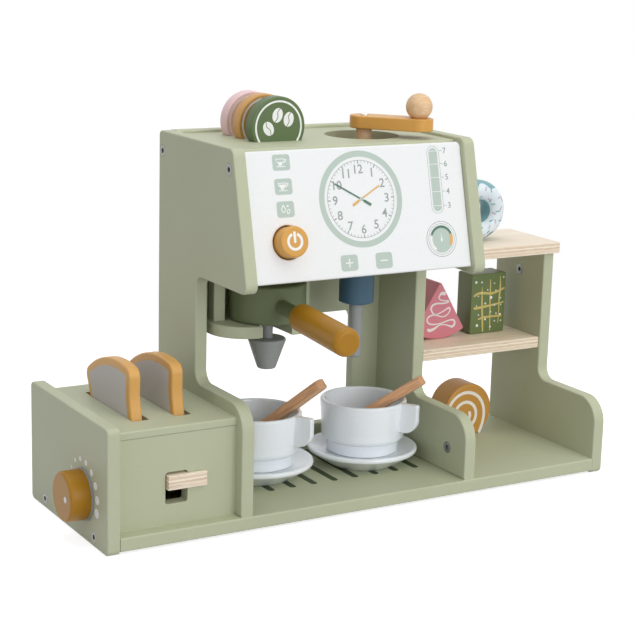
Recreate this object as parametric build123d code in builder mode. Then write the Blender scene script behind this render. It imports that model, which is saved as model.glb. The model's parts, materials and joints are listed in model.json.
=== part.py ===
"""Wooden toy coffee station: a coffee machine with a toaster on its left and two cake shelves on its right.

Sizes are in millimetres. The model stands on z = 0 with +Z up, its front faces -Y and the toaster is at
the -X end. The origin is the middle of the set's footprint.

Station coordinates, used for every size below, count x from the toaster's outer face, y from the front
edge of the base towards the back and z from the surface that the station stands on.
"""

import os
from math import atan2, cos, radians, sin, tan

from build123d import *

# ---------------------------------------------------------------- boards
BOARD = 10.0  # painted board
PLYWOOD = 9.2  # plywood of the cake shelves
THIN_BOARD = 6.0  # top board of the toaster and floor of the machine's head
EDGE_ROUND = 1.2  # rounding along the edges of painted boards
PLY_ROUND = 0.6  # rounding along the edges of plywood
DEPTH = 143.0  # front edge to back face
FLOOR_GAP = 2.2  # the base board hangs this high between the outer panels
TOASTER_WIDTH = 94.8  # clear width inside the toaster
MACHINE_WIDTH = 185.7  # clear width inside the coffee machine
SHELF_WIDTH = 116.2  # clear width inside the shelf unit
TOASTER_PANEL_HEIGHT = 91.5
MACHINE_HEIGHT = 275.75
HEAD_UNDERSIDE = 175.3
HEAD_OVERHANG = 1.3  # lower front corner of the head, ahead of the base
HEAD_TOP_SETBACK = 23.7  # upper front corner of the head, behind the base's front edge
COLUMN_FRONT = 78.7  # front edge of the columns
LEFT_FOOT_TOP = 94.5
RIGHT_FOOT_TOP = 61.5
FOOT_SETBACK = 1.5
FOOT_ROUND = 20.0
FOOT_HOLLOW = 10.0
COLUMN_HOLLOW = 8.0  # concave corner under the head
SHELF_PANEL_HEIGHT = 169.1
SHELF_COLUMN_FRONT = 77.0
PANEL_CORNER = 4.0
HEAD_CORNER = 6.5

# ---------------------------------------------------------------- machine
FASCIA_SETBACK = 4.6  # fascia face behind the side panels' sloped edge
FASCIA_LIFT = 7.1  # lower edge of the fascia above the head's lower corner, along the slope
FASCIA_TOP_DROP = 1.8  # upper edge of the fascia below the head's upper corner, along the slope
FASCIA_BOARD = 8.0
FASCIA_CORNER = 4.0
MACHINE_LID_DROP = 2.25  # top board below the top of the side panels
HEAD_FLOOR_LIFT = 7.7  # underside of the head floor above the side panels' underside
WINDOW_LEFT = 24.0  # back window, from the inner faces and the base
WINDOW_RIGHT = 23.7
WINDOW_SILL = 17.8
WINDOW_HEIGHT = 93.0
WINDOW_CORNER = 8.0
BUTTON_ACROSS = 29.7  # button centre from the inner face of the left side
BUTTON_UP = 28.7  # button centre above the fascia's lower edge
BUTTON_DIAMETER = 22.6
BUTTON_GAP = 1.0  # ring of air around the button
BUTTON_PROUD = 10.0
BUTTON_TRAVEL = 5.0
BUTTON_FLANGE = 3.0
BUTTON_FLANGE_RIM = 3.5  # flange beyond the hole's edge
BUTTON_ROUND = 1.6
BUTTON_SPRING_SOLID = 7.0  # length of the button's spring when it is pressed
BUTTON_SPRING_DIAMETER = 12.0
SPRING_WIRE = 0.9  # wire of the springs behind the button and under the lift
BUTTON_BLOCK_THICK = 9.0
BUTTON_BLOCK_ABOVE = 12.5  # block above the button's centre
BUTTON_BLOCK_GAP = 0.2  # block off the head floor

# ---------------------------------------------------------------- crank
CRANK_X = 135.2  # pivot from the inner face of the left side
CRANK_Y = 84.0
HOPPER_HOLE = 57.6
HOPPER_OFFSET = 2.0  # hopper hole's centre left of the crank's pivot
CRANK_THROW = 43.0  # pivot to ball
CRANK_TURN = -48.0  # arm's heading at rest, degrees from +X
CRANK_ARM_WIDTH = 22.4
CRANK_ARM_THICK = 9.7
CRANK_ARM_CLEAR = 5.5  # arm above the top board
CRANK_ARM_ROUND = 1.0
CRANK_POST_DIAMETER = 12.0
CRANK_POST_BELOW_RAIL = 8.0
CRANK_BALL_DIAMETER = 20.3
CRANK_BALL_FLAT = 11.0  # flat ground on the ball where it sits on the arm
CRANK_SCREW_HEAD = 6.6
CRANK_SCREW_HEAD_HEIGHT = 1.2
CRANK_SCREW_SHANK = 3.0
CRANK_SCREW_LENGTH = 24.0
CRANK_COLLAR_DIAMETER = 20.0
CRANK_COLLAR_THICK = 4.0
RAIL_LOW = 28.5  # underside of the bearing rail below the top board
RAIL_DEPTH = 34.0

# ---------------------------------------------------------------- coffee pads
PAD_DIAMETER = 44.8
PAD_THICK = 10.0
PAD_PITCH = 20.5
PAD_BACK_GAP = 14.0  # last pad ahead of the back panel
PAD_ACROSS = 51.2  # pad centres from the inner face of the left side
PAD_ABOVE = 10.5  # pad centres above the top board
PAD_FIT = 0.3  # play of a pad in its slot
PAD_ROUND = 1.2

# ---------------------------------------------------------------- portafilter and frother
HOLDER_DROP = 37.6  # top of the holder below the underside of the machine's sides
HOLDER_THICK = 9.3
HOLDER_FRONT = 55.7
HOLDER_LEFT = 4.6  # holder's left edge from the left side's inner face
HOLDER_WIDTH = 92.6
HOLDER_CORNER = 30.0
HOLDER_FLAT = 0.7  # least straight edge beside the fork's mouth
HOLDER_ROUND = 1.2
FORK_LEFT = 34.7  # fork slot from the left side's inner face
FORK_WIDTH = 25.0
FORK_DEPTH = 37.5
POST_WIDTH = 9.7
POST_DEPTH = 10.0
POST_FRONT = 85.5
POST_LEFT_INSET = 4.3  # posts in from the holder's edges
POST_RIGHT_INSET = 5.3
BASKET_ACROSS = 51.6  # basket axis from the left side's inner face
BASKET_Y = 80.0
BASKET_DIAMETER = 58.6
BASKET_HEIGHT = 29.1
BASKET_ROUND = 2.0
BASKET_LIFT = 0.2  # basket's running gap above the holder
NECK_DIAMETER = 11.0
NECK_LENGTH = 34.1
HANDLE_DIAMETER = 20.6
HANDLE_LENGTH = 83.9
HANDLE_ROUND = 4.0
HANDLE_TAIL = 14.6  # handle axis above the holder's top
HANDLE_TURN = 6.9  # handle's heading at rest, degrees from straight ahead towards the toaster
SPOUT_STEM_DIAMETER = 8.8
SPOUT_TOP_DROP = 15.2  # top of the spout cone below the holder's top
SPOUT_HEIGHT = 23.8
SPOUT_TOP_DIAMETER = 30.3
SPOUT_TIP_DIAMETER = 14.0
SPOUT_ROUND = 1.6
PIVOT_PIN_DIAMETER = 6.0
PIVOT_PIN_HEIGHT = 12.0
FROTHER_ACROSS = 130.7
FROTHER_Y = 80.0
FROTHER_BODY_DIAMETER = 27.4
FROTHER_BODY_DROP = 32.2  # lower end of the body below the underside of the machine's sides
FROTHER_WAND_DIAMETER = 10.8
FROTHER_WAND_LENGTH = 43.7
FROTHER_ROUND = 1.5

# ---------------------------------------------------------------- toaster
TOASTER_LID_FRONT = 10.8
TOASTER_LID_DEPTH = 127.7
TOASTER_LID_TOP = 84.9
TOASTER_PANEL_SETBACK = 0.5  # front and back panels behind the lid's edges
LEVER_WINDOW_LEFT = 39.3  # from the outer side's inner face
LEVER_WINDOW_WIDTH = 17.3
LEVER_WINDOW_SILL = 15.4  # above the base board
LEVER_WINDOW_CORNER = 2.0
LEVER_THICK = 10.4
LEVER_TOP_GAP = 1.8  # lever below the window's top edge at rest
LEVER_FLOOR_GAP = 0.8  # lever above the window's sill when it is pressed down
LEVER_SIDE_GAP = 0.7
LEVER_TAB_PROUD = 3.8
LEVER_TAB_GAP = 0.5
LEVER_TAB_REACH = 14.5  # tab beyond the arm
LIFT_TRAVEL = 10.4
LIFT_PLATE_FRONT = 29.5
LIFT_PLATE_DEPTH = 93.0
LIFT_PLATE_WIDTH = 62.0
GUIDE_ROD_DIAMETER = 5.0
GUIDE_ROD_PITCH = 62.0
LIFT_SPRING_DIAMETER = 8.6
SLOT_FRONT = 32.6
SLOT_LENGTH = 85.4
SLOT_WIDTH = 13.0
SLOT_FIRST = 23.4  # slots from the outer side's inner face
SLOT_PITCH = 33.2
TOAST_THICK = 9.0
TOAST_SIDE_GAP = 0.5  # toast off the slot's left edge
TOAST_AHEAD = 0.1  # toast's waist ahead of the slot's middle
TOAST_HALF_FOOT = 37.2
TOAST_HALF_WAIST = 36.2
TOAST_HALF_CROWN = 41.0  # the shoulders' corner, before it is rounded
TOAST_FOOT_DROP = 37.0  # foot below the waist
TOAST_CROWN_RISE = 19.5  # the shoulders' corner above the waist
TOAST_PEAK_RISE = 35.6  # where the shoulders' slopes would meet
TOAST_TOP_RADIUS = 92.0
TOAST_CROWN_CORNER = 7.5
TOAST_WAIST_RADIUS = 40.0
TOAST_FOOT_CORNER = 5.0
TOAST_ROUND = 1.5
TOAST_LEAN = 12.0  # degrees that a slice leans back in its slot
TOAST_FOOT_GAP = 0.25
KNOB_Y = 42.5
KNOB_Z = 33.5
KNOB_DIAMETER = 36.5
KNOB_THICK = 15.0
KNOB_ROUND = 2.2
WASHER_DIAMETER = 38.6
WASHER_THICK = 1.3
KNOB_CLEAR = 0.2  # washer off the panel
SHAFT_DIAMETER = 8.0
SHAFT_COLLAR_DIAMETER = 15.0
SHAFT_COLLAR_THICK = 5.0
SHAFT_TAIL = 3.0  # shaft beyond the collar

# ---------------------------------------------------------------- shelves and cakes
UPPER_SHELF_FRONT = 72.2
UPPER_SHELF_OVERHANG = 1.7  # upper shelf beyond the outer panel
MIDDLE_SHELF_FRONT = 79.0
MIDDLE_SHELF_TOP = 97.1
CAKE_GAP = 0.2  # cakes off the shelf they stand on
DONUT_RADIUS = 25.1
DONUT_HOLE = 16.0
DONUT_THICK = 23.0
DONUT_ACROSS = 66.2  # centres from the machine's right side
DONUT_FRONT = 96.9
WEDGE_RADIUS = 48.8
WEDGE_HALF_ANGLE = 31.0
WEDGE_THICK = 24.0
WEDGE_ACROSS = 33.8
WEDGE_FRONT = 107.0
CAKE_WIDTH = 35.0
CAKE_HEIGHT = 51.1
CAKE_THICK = 20.5
CAKE_ACROSS = 66.5
CAKE_FRONT = 108.5
ROLL_RADIUS = 23.4
ROLL_FLAT = 2.6  # flat cut from the bottom of the roll
ROLL_THICK = 24.0
ROLL_ACROSS = 62.5
ROLL_FRONT = 100.0
CAKE_ROUND = 1.6

# ---------------------------------------------------------------- cups
SAUCER_LEFT_GAP = 2.0  # left saucer off the machine's left side
SAUCER_MIDDLE_GAP = 5.2  # between the saucers
SAUCER_RIGHT_GAP = 2.5  # right saucer off the machine's right side
LEFT_SAUCER_BACK_GAP = 6.7  # off the back panel
RIGHT_SAUCER_BACK_GAP = 11.0
SAUCER_FOOT = 52.8
SAUCER_WELL = 58.4
SAUCER_WELL_HEIGHT = 10.4
SAUCER_EDGE_LOW = 11.3
SAUCER_EDGE_HIGH = 15.1
SAUCER_FOOT_ROUND = 1.5
SAUCER_EDGE_ROUND = 1.8
SAUCER_WELL_ROUND = 3.0
SAUCER_LIFT = 0.2
CUP_LIFT = 0.2
CUP_RIM = 69.0
CUP_WALL = 3.8
CUP_HEIGHT = 42.2
CUP_FOOT = 56.7
CUP_FOOT_HEIGHT = 10.0
CUP_SHOULDER = 3.0  # body's taper from the rim down to the shoulder
CUP_SHOULDER_HEIGHT = 19.0
CUP_FLOOR = 5.5
CUP_EDGE_ROUND = 1.7
CUP_FOOT_ROUND = 1.5
CUP_STEP_ROUND = 4.0  # lower edge of the body, over the foot
CUP_BELLY_ROUND = 8.0
CUP_INSIDE_ROUND = 5.0
CUP_HANDLE_REACH = 47.7
CUP_HANDLE_THICK = 6.0
CUP_HANDLE_DEPTH = 23.5
CUP_HANDLE_CORNER = 11.0
CUP_HANDLE_TURN = -57.0
CUP_HANDLE_ROUND = 1.2
SPOON_LENGTH = 80.0
SPOON_WIDTH = 12.0
SPOON_THICK = 7.5
SPOON_ROUND = 1.0
SPOON_END_FLAT = 1.6  # straight stretch across a spoon's end
LEFT_SPOON_ROUND_CUP = -36.8  # where a spoon's free end lies, in degrees round its cup
LEFT_SPOON_REACH = 16.1  # free end past the cup's rim
LEFT_SPOON_RISE = 24.3  # free end over the cup's rim
LEFT_SPOON_HEADING = -44.5  # degrees from +X
LEFT_SPOON_SLOPE = 40.0  # degrees from level
LEFT_SPOON_ROLL = -15.7  # degrees about its own length
RIGHT_SPOON_ROUND_CUP = -29.4
RIGHT_SPOON_REACH = 12.9
RIGHT_SPOON_RISE = 15.9
RIGHT_SPOON_HEADING = -21.4
RIGHT_SPOON_SLOPE = 30.7
RIGHT_SPOON_ROLL = -23.9

# ---------------------------------------------------------------- fasteners
BOLT_HEAD = 9.1
BOLT_HEAD_HEIGHT = 4.0
BOLT_SHANK = 4.0
BOLT_LENGTH = 28.0
HEAD_BOLT_DROP = 2.8  # upper bolts below the machine's top board
BACK_BOLT_AHEAD = 1.2  # rear bolts ahead of the middle of the back panel
FOOT_BOLT = (26.3, 32.0)  # y and z
SHELF_SCREW_Y = 109.9
SHELF_SCREW_DROP = 19.5  # shelf screw below the top of its panel
BASE_SCREW_FRONT = 23.9
BASE_SCREW_BACK = 115.9
SCREW_HEAD = 8.4
SCREW_HEAD_HEIGHT = 3.2
SCREW_SHANK = 3.4
SCREW_LENGTH = 26.0
SHORT_SCREW_LENGTH = 8.5
HOLE_FIT = 0.05  # radial play of a fastener
HEAD_FIT = 0.2  # radial play of a fastener's head in its counterbore
SOCKET_ACROSS = 3.6
SOCKET_DEPTH = 2.0
RUNNING_FIT = 0.06  # radial play of a turning or sliding shaft
AXIAL_PLAY = 0.25
EDGE_FINDER = 0.3  # how far in from its rim the back panel's inner edges are looked for

# ---------------------------------------------------------------- positions worked out from the sizes
TOASTER_INNER = BOARD
LEFT_SIDE = TOASTER_INNER + TOASTER_WIDTH
MACHINE_INNER = LEFT_SIDE + BOARD
RIGHT_SIDE = MACHINE_INNER + MACHINE_WIDTH
SHELF_INNER = RIGHT_SIDE + BOARD
SHELF_SIDE = SHELF_INNER + SHELF_WIDTH
SHELF_END = SHELF_SIDE + BOARD
BASE_TOP = FLOOR_GAP + BOARD
BACK_INNER = DEPTH - BOARD
MACHINE_LID_TOP = MACHINE_HEIGHT - MACHINE_LID_DROP
BUTTON_SPRING_LENGTH = BUTTON_SPRING_SOLID + BUTTON_TRAVEL
MACHINE_LID_LOW = MACHINE_LID_TOP - BOARD
HEAD_FLOOR_LOW = HEAD_UNDERSIDE + HEAD_FLOOR_LIFT
HEAD_FLOOR_TOP = HEAD_FLOOR_LOW + THIN_BOARD
RAIL_TOP = MACHINE_LID_TOP - RAIL_LOW
RAIL_UNDER = RAIL_TOP - BOARD
HOLDER_TOP = HEAD_UNDERSIDE - HOLDER_DROP
HOLDER_LOW = HOLDER_TOP - HOLDER_THICK
FROTHER_BODY_BOTTOM = HEAD_UNDERSIDE - FROTHER_BODY_DROP
FROTHER_WAND_BOTTOM = FROTHER_BODY_BOTTOM - FROTHER_WAND_LENGTH
PIVOT_X = MACHINE_INNER + CRANK_X
BASKET_X = MACHINE_INNER + BASKET_ACROSS
PAD_X = MACHINE_INNER + PAD_ACROSS
PAD_FIRST = BACK_INNER - PAD_BACK_GAP - 2 * PAD_PITCH - PAD_THICK
TOASTER_LID_LOW = TOASTER_LID_TOP - THIN_BOARD
LEVER_WINDOW_HEIGHT = LEVER_FLOOR_GAP + LIFT_TRAVEL + LEVER_THICK + LEVER_TOP_GAP
LEVER_TOP = BASE_TOP + LEVER_WINDOW_SILL + LEVER_WINDOW_HEIGHT - LEVER_TOP_GAP
LEVER_LOW = LEVER_TOP - LEVER_THICK
LEVER_X = TOASTER_INNER + LEVER_WINDOW_LEFT
TOASTER_PANEL_FRONT = TOASTER_LID_FRONT + TOASTER_PANEL_SETBACK
SLOT_X = TOASTER_INNER + SLOT_FIRST
LIFT_MIDDLE = SLOT_X + (SLOT_PITCH + SLOT_WIDTH) / 2
LIFT_PLATE_MIDDLE = LIFT_PLATE_FRONT + LIFT_PLATE_DEPTH / 2
MIDDLE_SHELF_LOW = MIDDLE_SHELF_TOP - PLYWOOD
SAUCER_DIAMETER = (MACHINE_WIDTH - SAUCER_LEFT_GAP - SAUCER_MIDDLE_GAP - SAUCER_RIGHT_GAP) / 2
LEFT_SET_X = MACHINE_INNER + SAUCER_LEFT_GAP + SAUCER_DIAMETER / 2
LEFT_SET_Y = BACK_INNER - LEFT_SAUCER_BACK_GAP - SAUCER_DIAMETER / 2
RIGHT_SET_X = RIGHT_SIDE - SAUCER_RIGHT_GAP - SAUCER_DIAMETER / 2
RIGHT_SET_Y = BACK_INNER - RIGHT_SAUCER_BACK_GAP - SAUCER_DIAMETER / 2
UPPER_SHELF_TOP = SHELF_PANEL_HEIGHT + PLYWOOD
KNOB_FACE = KNOB_CLEAR + WASHER_THICK + KNOB_THICK
HEAD_LEAN = HEAD_OVERHANG + HEAD_TOP_SETBACK
HEAD_HEIGHT = MACHINE_HEIGHT - HEAD_UNDERSIDE
HEAD_SLOPE = atan2(HEAD_LEAN, HEAD_HEIGHT)
FASCIA_HEIGHT = (HEAD_LEAN**2 + HEAD_HEIGHT**2) ** 0.5 - FASCIA_LIFT - FASCIA_TOP_DROP

# The footprint's middle, which is the model's origin.
HANDLE_END = BASKET_DIAMETER / 2 + NECK_LENGTH + HANDLE_LENGTH
HANDLE_FRONT = (
    BASKET_Y
    - HANDLE_END * cos(radians(HANDLE_TURN))
    - (HANDLE_DIAMETER / 2 - HANDLE_ROUND) * sin(radians(HANDLE_TURN))
    - HANDLE_ROUND * (1 - cos(radians(HANDLE_TURN)))
)
MIDDLE_X = (SHELF_END + UPPER_SHELF_OVERHANG - KNOB_FACE) / 2
MIDDLE_Y = (DEPTH + HANDLE_FRONT) / 2


# ---------------------------------------------------------------- planes and shared steps
def level(z):
    """Horizontal plane at height z. Its sketches use station x and y and extrude upwards."""
    return Plane(origin=(-MIDDLE_X, -MIDDLE_Y, z))


def front(y):
    """Upright plane y behind the base's front edge. Its sketches use x and z and extrude forwards."""
    return Plane(origin=(-MIDDLE_X, y - MIDDLE_Y, 0), x_dir=(1, 0, 0), z_dir=(0, -1, 0))


def side(x):
    """Upright plane x from the toaster's outer face. Its sketches use y and z and extrude to +X."""
    return Plane(origin=(x - MIDDLE_X, -MIDDLE_Y, 0), x_dir=(0, 1, 0), z_dir=(1, 0, 0))


def point(x, y, z):
    """A point given in station coordinates."""
    return Vector(x - MIDDLE_X, y - MIDDLE_Y, z)


def fascia_plane(depth=0.0):
    """Plane of the fascia's face, or depth behind it. Its sketches use x and the height up the slope."""
    up = Vector(0, sin(HEAD_SLOPE), cos(HEAD_SLOPE))
    out = Vector(0, -cos(HEAD_SLOPE), sin(HEAD_SLOPE))
    corner = point(0, -HEAD_OVERHANG, HEAD_UNDERSIDE)
    centre = corner + up * FASCIA_LIFT - out * (FASCIA_SETBACK + depth)
    return Plane(origin=centre, x_dir=(1, 0, 0), z_dir=out)


def behind_fascia(z):
    """Station y of the fascia's back face at height z."""
    along = (z - HEAD_UNDERSIDE) * tan(HEAD_SLOPE)
    return along - HEAD_OVERHANG + (FASCIA_SETBACK + FASCIA_BOARD) / cos(HEAD_SLOPE)


def save(piece, name):
    """Labels a finished piece and writes its file."""
    piece.part.label = name
    export_step(piece.part, f"parts/{name}.step")


def round_faces(piece, axis, radius):
    """Rounds the outline edges of the two faces that lie across an axis."""
    faces = piece.faces().sort_by(axis)
    fillet(faces[0].edges() + faces[-1].edges(), radius)


def shelf(name, plane, x_size, y_size, center):
    """A plain plywood shelf."""
    with BuildPart() as piece:
        with BuildSketch(plane):
            with Locations(center):
                Rectangle(x_size, y_size)
        extrude(amount=PLYWOOD)
        round_faces(piece, Axis.Z, PLY_ROUND)
    save(piece, name)


def bolt(plane, places, head, head_height, shank, length):
    """Socket-head fasteners with their heads outward of a plane, added to the part being built."""
    with BuildSketch(plane) as heads:
        with Locations(*places):
            Circle(head / 2)
    extrude(heads.sketch, amount=-head_height)
    with BuildSketch(plane.offset(-head_height)) as shanks:
        with Locations(*places):
            Circle(shank / 2)
    extrude(shanks.sketch, amount=-(length - head_height))
    with BuildSketch(plane) as sockets:
        with Locations(*places):
            RegularPolygon(SOCKET_ACROSS / 2, 6, major_radius=False)
    extrude(sockets.sketch, amount=-SOCKET_DEPTH, mode=Mode.SUBTRACT)


def fastener_holes(plane, places, head, head_height, shank, length):
    """Counterbored holes for fasteners that enter through a plane, cut from the part being built."""
    with BuildSketch(plane) as counterbores:
        with Locations(*places):
            Circle(head / 2 + HEAD_FIT)
    extrude(counterbores.sketch, amount=-head_height, mode=Mode.SUBTRACT)
    with BuildSketch(plane) as holes:
        with Locations(*places):
            Circle(shank / 2 + HOLE_FIT)
    extrude(holes.sketch, amount=-length, mode=Mode.SUBTRACT)


def spring_sleeve(plane, diameter, length):
    """The envelope of a compression spring that stands on a plane, added to the part being built."""
    with BuildSketch(plane) as ring:
        Circle(diameter / 2)
        Circle(diameter / 2 - SPRING_WIRE, mode=Mode.SUBTRACT)
    extrude(ring.sketch, amount=length)


# ---------------------------------------------------------------- where the fasteners go
HEAD_BOLT_Z = MACHINE_LID_LOW - HEAD_BOLT_DROP
FASCIA_BOLT_Y = behind_fascia(HEAD_BOLT_Z) - FASCIA_BOARD / cos(HEAD_SLOPE) / 2
BACK_BOLT_Y = DEPTH - BOARD / 2 - BACK_BOLT_AHEAD
HEAD_BOLTS = [(BACK_BOLT_Y, HEAD_BOLT_Z), (FASCIA_BOLT_Y, HEAD_BOLT_Z)]
BASE_SCREWS = [(y, FLOOR_GAP + BOARD / 2) for y in (BASE_SCREW_FRONT, BASE_SCREW_BACK)]
SHELF_SCREW = (SHELF_SCREW_Y, SHELF_PANEL_HEIGHT - SHELF_SCREW_DROP)
MACHINE_BOLT = dict(head=BOLT_HEAD, head_height=BOLT_HEAD_HEIGHT, shank=BOLT_SHANK, length=BOLT_LENGTH)
BASE_SCREW = dict(head=SCREW_HEAD, head_height=SCREW_HEAD_HEIGHT, shank=SCREW_SHANK, length=SCREW_LENGTH)
SHORT_SCREW = dict(
    head=BOLT_HEAD, head_height=BOLT_HEAD_HEIGHT, shank=BOLT_SHANK, length=SHORT_SCREW_LENGTH
)


def facing_left(x):
    """Plane at x that faces -X, with y mirrored so that fasteners entering from the left point to +X."""
    return Plane(origin=(x - MIDDLE_X, -MIDDLE_Y, 0), x_dir=(0, -1, 0), z_dir=(-1, 0, 0))


def from_left(places):
    """Places for a plane that faces left."""
    return [(-y, z) for y, z in places]


# ---------------------------------------------------------------- station boards
def make_base_board():
    """The board that everything stands on, between the two outer panels."""
    with BuildPart() as base_board:
        with BuildSketch(level(FLOOR_GAP)):
            with Locations(((TOASTER_INNER + SHELF_SIDE) / 2, DEPTH / 2)):
                Rectangle(SHELF_SIDE - TOASTER_INNER, DEPTH)
        extrude(amount=BOARD)
        long_edges = base_board.edges().filter_by(Axis.X)
        fillet(long_edges, EDGE_ROUND)
        fastener_holes(facing_left(0), from_left(BASE_SCREWS), **BASE_SCREW)
        fastener_holes(side(SHELF_END), BASE_SCREWS, **BASE_SCREW)
    save(base_board, "base_board")


def make_toaster_outer_side():
    """The low panel at the toaster's end, which carries the browning knob."""
    with BuildPart() as toaster_outer_side:
        with BuildSketch(side(0)):
            with BuildLine():
                FilletPolyline(
                    (0, 0),
                    (DEPTH, 0),
                    (DEPTH, TOASTER_PANEL_HEIGHT),
                    (0, TOASTER_PANEL_HEIGHT),
                    radius=PANEL_CORNER,
                    close=True,
                )
            make_face()
        extrude(amount=BOARD)
        round_faces(toaster_outer_side, Axis.X, EDGE_ROUND)
        with BuildSketch(side(0)):
            with Locations((KNOB_Y, KNOB_Z)):
                Circle(SHAFT_DIAMETER / 2 + RUNNING_FIT)
        extrude(amount=BOARD, mode=Mode.SUBTRACT)
        fastener_holes(facing_left(0), from_left(BASE_SCREWS), **BASE_SCREW)
    save(toaster_outer_side, "toaster_outer_side")


def make_machine_side(name, x, foot_top, bolt_plane, bolt_places, foot_bolts=()):
    """One of the two tall panels: a foot, a column and a head with a sloped front."""
    with BuildPart() as machine_side:
        with BuildSketch(side(x)):
            with BuildLine():
                FilletPolyline(
                    (FOOT_SETBACK, BASE_TOP),
                    (DEPTH, BASE_TOP),
                    (DEPTH, MACHINE_HEIGHT),
                    (HEAD_TOP_SETBACK, MACHINE_HEIGHT),
                    (-HEAD_OVERHANG, HEAD_UNDERSIDE),
                    (COLUMN_FRONT, HEAD_UNDERSIDE),
                    (COLUMN_FRONT, foot_top),
                    (FOOT_SETBACK, foot_top),
                    radius=[
                        0,
                        0,
                        PANEL_CORNER,
                        HEAD_CORNER,
                        HEAD_CORNER,
                        COLUMN_HOLLOW,
                        FOOT_HOLLOW,
                        FOOT_ROUND,
                    ],
                    close=True,
                )
            make_face()
        extrude(amount=BOARD)
        round_faces(machine_side, Axis.X, EDGE_ROUND)
        fastener_holes(bolt_plane, bolt_places, **MACHINE_BOLT)
        if foot_bolts:
            fastener_holes(facing_left(x), from_left(foot_bolts), **SHORT_SCREW)
    save(machine_side, name)


def make_shelf_outer_side():
    """The panel at the shelves' end: a foot and a column that carries the upper shelf."""
    with BuildPart() as shelf_outer_side:
        with BuildSketch(side(SHELF_SIDE)):
            with BuildLine():
                FilletPolyline(
                    (0, 0),
                    (DEPTH, 0),
                    (DEPTH, SHELF_PANEL_HEIGHT),
                    (SHELF_COLUMN_FRONT, SHELF_PANEL_HEIGHT),
                    (SHELF_COLUMN_FRONT, RIGHT_FOOT_TOP),
                    (0, RIGHT_FOOT_TOP),
                    radius=[PANEL_CORNER, PANEL_CORNER, 0, 0, FOOT_HOLLOW, FOOT_ROUND],
                    close=True,
                )
            make_face()
        extrude(amount=BOARD)
        round_faces(shelf_outer_side, Axis.X, EDGE_ROUND)
        fastener_holes(side(SHELF_END), BASE_SCREWS, **BASE_SCREW)
        fastener_holes(facing_left(SHELF_SIDE), from_left([SHELF_SCREW]), **SHORT_SCREW)
    save(shelf_outer_side, "shelf_outer_side")


def make_back_panel():
    """The machine's back, with its big window behind the cups."""
    window_width = MACHINE_WIDTH - WINDOW_LEFT - WINDOW_RIGHT
    window_x = MACHINE_INNER + WINDOW_LEFT + window_width / 2
    window_z = BASE_TOP + WINDOW_SILL + WINDOW_HEIGHT / 2
    with BuildPart() as back_panel:
        with BuildSketch(front(DEPTH)):
            with Locations((MACHINE_INNER + MACHINE_WIDTH / 2, (BASE_TOP + MACHINE_HEIGHT) / 2)):
                Rectangle(MACHINE_WIDTH, MACHINE_HEIGHT - BASE_TOP)
            with Locations((window_x, window_z)):
                RectangleRounded(window_width, WINDOW_HEIGHT, WINDOW_CORNER, mode=Mode.SUBTRACT)
        extrude(amount=BOARD)
        inner_edges = back_panel.edges().filter_by_position(
            Axis.X,
            MACHINE_INNER - MIDDLE_X + EDGE_FINDER,
            RIGHT_SIDE - MIDDLE_X - EDGE_FINDER,
        )
        low = BASE_TOP + EDGE_FINDER
        window_edges = inner_edges.filter_by_position(Axis.Z, low, MACHINE_HEIGHT - EDGE_FINDER)
        across = window_edges.filter_by(Axis.Y, reverse=True)
        fillet(across, EDGE_ROUND)
        top_edges = back_panel.edges().group_by(Axis.Z)[-1].filter_by(Axis.X)
        fillet(top_edges, EDGE_ROUND)
        head_place = [HEAD_BOLTS[0]]
        fastener_holes(facing_left(LEFT_SIDE), from_left(head_place), **MACHINE_BOLT)
        fastener_holes(side(SHELF_INNER), head_place, **MACHINE_BOLT)
    save(back_panel, "back_panel")


def between_sides(name, low, high, cut=None):
    """A level board of the head, from behind the fascia to the back panel."""
    with BuildPart() as piece:
        with BuildSketch(side(MACHINE_INNER)):
            with BuildLine():
                Polyline(
                    (behind_fascia(low), low),
                    (BACK_INNER, low),
                    (BACK_INNER, high),
                    (behind_fascia(high), high),
                    close=True,
                )
            make_face()
        extrude(amount=MACHINE_WIDTH)
        if cut:
            cut()
    save(piece, name)


def cut_machine_lid():
    """The hopper hole and the three pad slots in the machine's top board."""
    chord = 2 * (PAD_DIAMETER**2 / 4 - PAD_ABOVE**2) ** 0.5
    with BuildSketch(level(MACHINE_LID_LOW)) as openings:
        with Locations((PIVOT_X - HOPPER_OFFSET, CRANK_Y)):
            Circle(HOPPER_HOLE / 2)
        for number in range(3):
            with Locations((PAD_X, PAD_FIRST + number * PAD_PITCH + PAD_THICK / 2)):
                Rectangle(chord + PAD_FIT, PAD_THICK + PAD_FIT)
    extrude(openings.sketch, amount=BOARD, mode=Mode.SUBTRACT)


def make_fascia():
    """The white front board of the head."""
    with BuildPart() as fascia:
        with BuildSketch(fascia_plane()):
            with BuildLine():
                FilletPolyline(
                    (MACHINE_INNER, 0),
                    (RIGHT_SIDE, 0),
                    (RIGHT_SIDE, FASCIA_HEIGHT),
                    (MACHINE_INNER, FASCIA_HEIGHT),
                    radius=[0, 0, FASCIA_CORNER, FASCIA_CORNER],
                    close=True,
                )
            make_face()
            with Locations((MACHINE_INNER + BUTTON_ACROSS, BUTTON_UP)):
                Circle(BUTTON_DIAMETER / 2 + BUTTON_GAP, mode=Mode.SUBTRACT)
        extrude(amount=-FASCIA_BOARD)
        face_edges = fascia.faces().sort_by(fascia_axis())[-1].edges()
        fillet(face_edges, EDGE_ROUND)
        fascia_place = [HEAD_BOLTS[1]]
        fastener_holes(facing_left(LEFT_SIDE), from_left(fascia_place), **MACHINE_BOLT)
        fastener_holes(side(SHELF_INNER), fascia_place, **MACHINE_BOLT)
    save(fascia, "fascia")


def fascia_axis():
    """Axis along the fascia's outward normal."""
    return Axis(fascia_plane().origin, fascia_plane().z_dir)


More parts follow.
